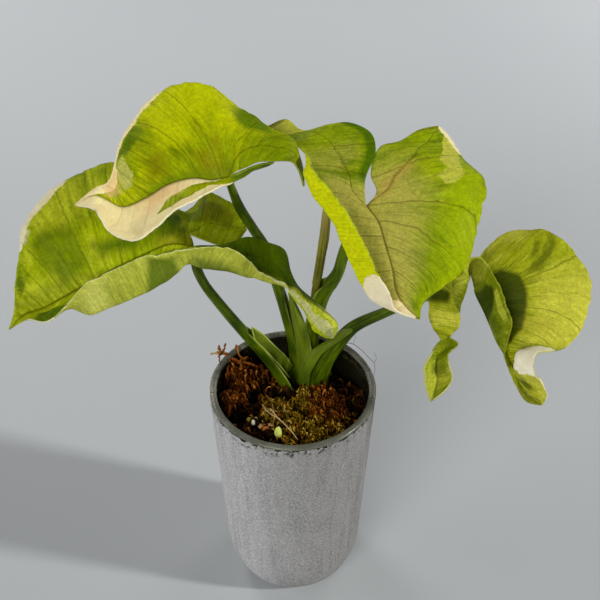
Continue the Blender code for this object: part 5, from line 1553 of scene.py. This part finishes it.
def makeGrainGroup():
    tree, given, made = newGroup(
        "grainSpeckle", {"Pale": (0.5, 0.5, 0.3, 1.0), "Deep": (0.2, 0.2, 0.05, 1.0), "Foot Height": 0.1},
        {"Colour": "Color", "Roughness": "Float", "Height": "Float"})
    spot = put(tree, "TexCoord").outputs["Object"]
    speckle = noiseAt(tree, spot, 900, 4, 0.7)
    level = put(tree, "SeparateXYZ", {"Vector": spot}).outputs["Z"]
    low = ramp(tree, level, given["Foot Height"], plus(tree, given["Foot Height"], 0.003))
    share = plus(tree, ramp(tree, speckle, 0.3, 0.7, 0.0, 0.5), times(tree, low, 0.6))
    tree.links.new(mixColour(tree, share, given["Deep"], given["Pale"]), made["Colour"])
    tree.links.new(ramp(tree, speckle, 0.3, 0.7, 0.35, 0.6), made["Roughness"])
    tree.links.new(speckle, made["Height"])
    return tree


sideShoot = {
    "route": [(-5.0, -23.4, 103.6), (-5.3, -24.2, 105.2), (-5.7, -25.0, 106.8), (-5.8, -25.5, 108.6),
              (-5.7, -25.3, 110.4), (-5.5, -25.0, 111.3)],
    "radius": [0.7, 0.9, 1.4, 1.55, 1.15, 0.35], "sides": 24, "routeSteps": 5,
}


def makeSideShoot(material):
    route = curveThrough(sideShoot["route"], sideShoot["routeSteps"])
    radii = alongRoute(sideShoot, "radius", len(route))
    bm = bmesh.new()
    addTube(bm, roundRings(route * mm, radii * mm, sideShoot["sides"], firstSide=(1.0, 0.0, 0.0)))
    return makePiece("sideShootBud", bm, [material], ["side_shoot"])


grainGroup = makeGrainGroup()
for name, (pale, deep) in grainFinish.items():
    values = {"Pale": pale, "Deep": deep, "Foot Height": 0.1035 if name != "side_shoot" else 0.105}
    material = finishWith(name + "Skin", grainGroup, values, {"Specular IOR Level": 0.3}, 0.1 * mm, 0.4)
    if name == "side_shoot":
        makeSideShoot(material)
    else:
        dressNode(name, material)
print("grains made")


# Stage, lights and camera

stage = {
    "cameraTilt": 41.6, "cameraDistance": 0.4918, "cameraTarget": (0.00304, 0.0, 0.1574), "lens": 75.0,
    "suns": {         # direction it comes from, width in degrees, strength and colour
        "rightLight": ((0.867, -0.206, 0.454), 5.0, 2.06, (1.0, 0.99, 0.96)),
        "frontLight": ((-0.367, -0.784, 0.5), 34.0, 1.6, (1.0, 0.99, 0.98)),
        "leftLight": ((-0.97, 0.0, 0.22), 40.0, 0.62, (1.0, 0.985, 0.985)),
    },
    "lights": {       # place, aim, size, power and colour of each lamp
        "backLeftLamp": ((-0.5, 0.7, 0.7), (-0.45, 0.42, 0.0), 0.4, 3.2, (1.0, 0.95, 0.98)),
        "backRightLamp": ((0.5, 0.6, 0.4), (0.45, 0.36, 0.0), 0.4, 1.6, (1.0, 0.95, 0.98)),
    },
    "skyColour": (0.96, 0.98, 1.0, 1.0), "skyStrength": 0.05, "skySeen": 0.42,
    "floorSize": 12.0, "floorTints": (rgb(179, 184, 186), rgb(184, 189, 190)),
}


def makeFloor():
    bm = bmesh.new()
    bmesh.ops.create_grid(bm, x_segments=1, y_segments=1, size=stage["floorSize"])
    mesh = bpy.data.meshes.new("floorSheet")
    bm.to_mesh(mesh)
    bm.free()
    material = bpy.data.materials.new("paleFloor")
    material.use_nodes = True
    tree = material.node_tree
    spot = put(tree, "TexCoord").outputs["Object"]
    colour = mixColour(tree, noiseAt(tree, spot, 6, 2), *stage["floorTints"])
    tree.links.new(colour, tree.nodes["Principled BSDF"].inputs["Base Color"])
    tree.nodes["Principled BSDF"].inputs["Roughness"].default_value = 0.9
    tree.nodes["Principled BSDF"].inputs["Specular IOR Level"].default_value = 0.1
    mesh.materials.append(material)
    floor = bpy.data.objects.new("floorSheet", mesh)
    scene.collection.objects.link(floor)


def addLight(name, place, aim, size, power, colour):
    light = bpy.data.lights.new(name, "AREA")
    light.shape = "DISK"
    light.size = size
    light.energy = power
    light.color = colour
    lamp = bpy.data.objects.new(name, light)
    lamp.location = place
    away = Vector(aim) - Vector(place)
    lamp.rotation_euler = away.to_track_quat("-Z", "Y").to_euler()
    lamp.visible_camera = False
    scene.collection.objects.link(lamp)


def addSun(name, fromWay, width, strength, colour):
    light = bpy.data.lights.new(name, "SUN")
    light.angle = math.radians(width)
    light.energy = strength
    light.color = colour
    sun = bpy.data.objects.new(name, light)
    sun.rotation_euler = (-Vector(fromWay)).to_track_quat("-Z", "Y").to_euler()
    scene.collection.objects.link(sun)


def addCamera():
    tilt = math.radians(stage["cameraTilt"])
    look = Vector((0.0, math.cos(tilt), -math.sin(tilt)))
    up = Vector((0.0, math.sin(tilt), math.cos(tilt)))
    camera = bpy.data.objects.new("camera", bpy.data.cameras.new("camera"))
    camera.data.sensor_width = 36.0
    camera.data.lens = stage["lens"]
    camera.data.clip_start = 0.01
    camera.location = Vector(stage["cameraTarget"]) - stage["cameraDistance"] * look
    camera.rotation_euler = look.to_track_quat("-Z", "Y").to_euler()
    scene.collection.objects.link(camera)
    scene.camera = camera


makeFloor()
for name, sun in stage["suns"].items():
    addSun(name, *sun)
for name, lamp in stage["lights"].items():
    addLight(name, *lamp)
sky = bpy.data.worlds.new("studioSky")
sky.use_nodes = True
sky.node_tree.nodes["Background"].inputs["Color"].default_value = stage["skyColour"]
seen = put(sky.node_tree, "LightPath").outputs["Is Camera Ray"]      # the sky looks pale, and lights little
strength = calc(sky.node_tree, "MULTIPLY_ADD", seen, stage["skySeen"], stage["skyStrength"])
sky.node_tree.links.new(strength, sky.node_tree.nodes["Background"].inputs["Strength"])
scene.world = sky
scene.view_settings.view_transform = "Standard"
addCamera()
print("stage set")
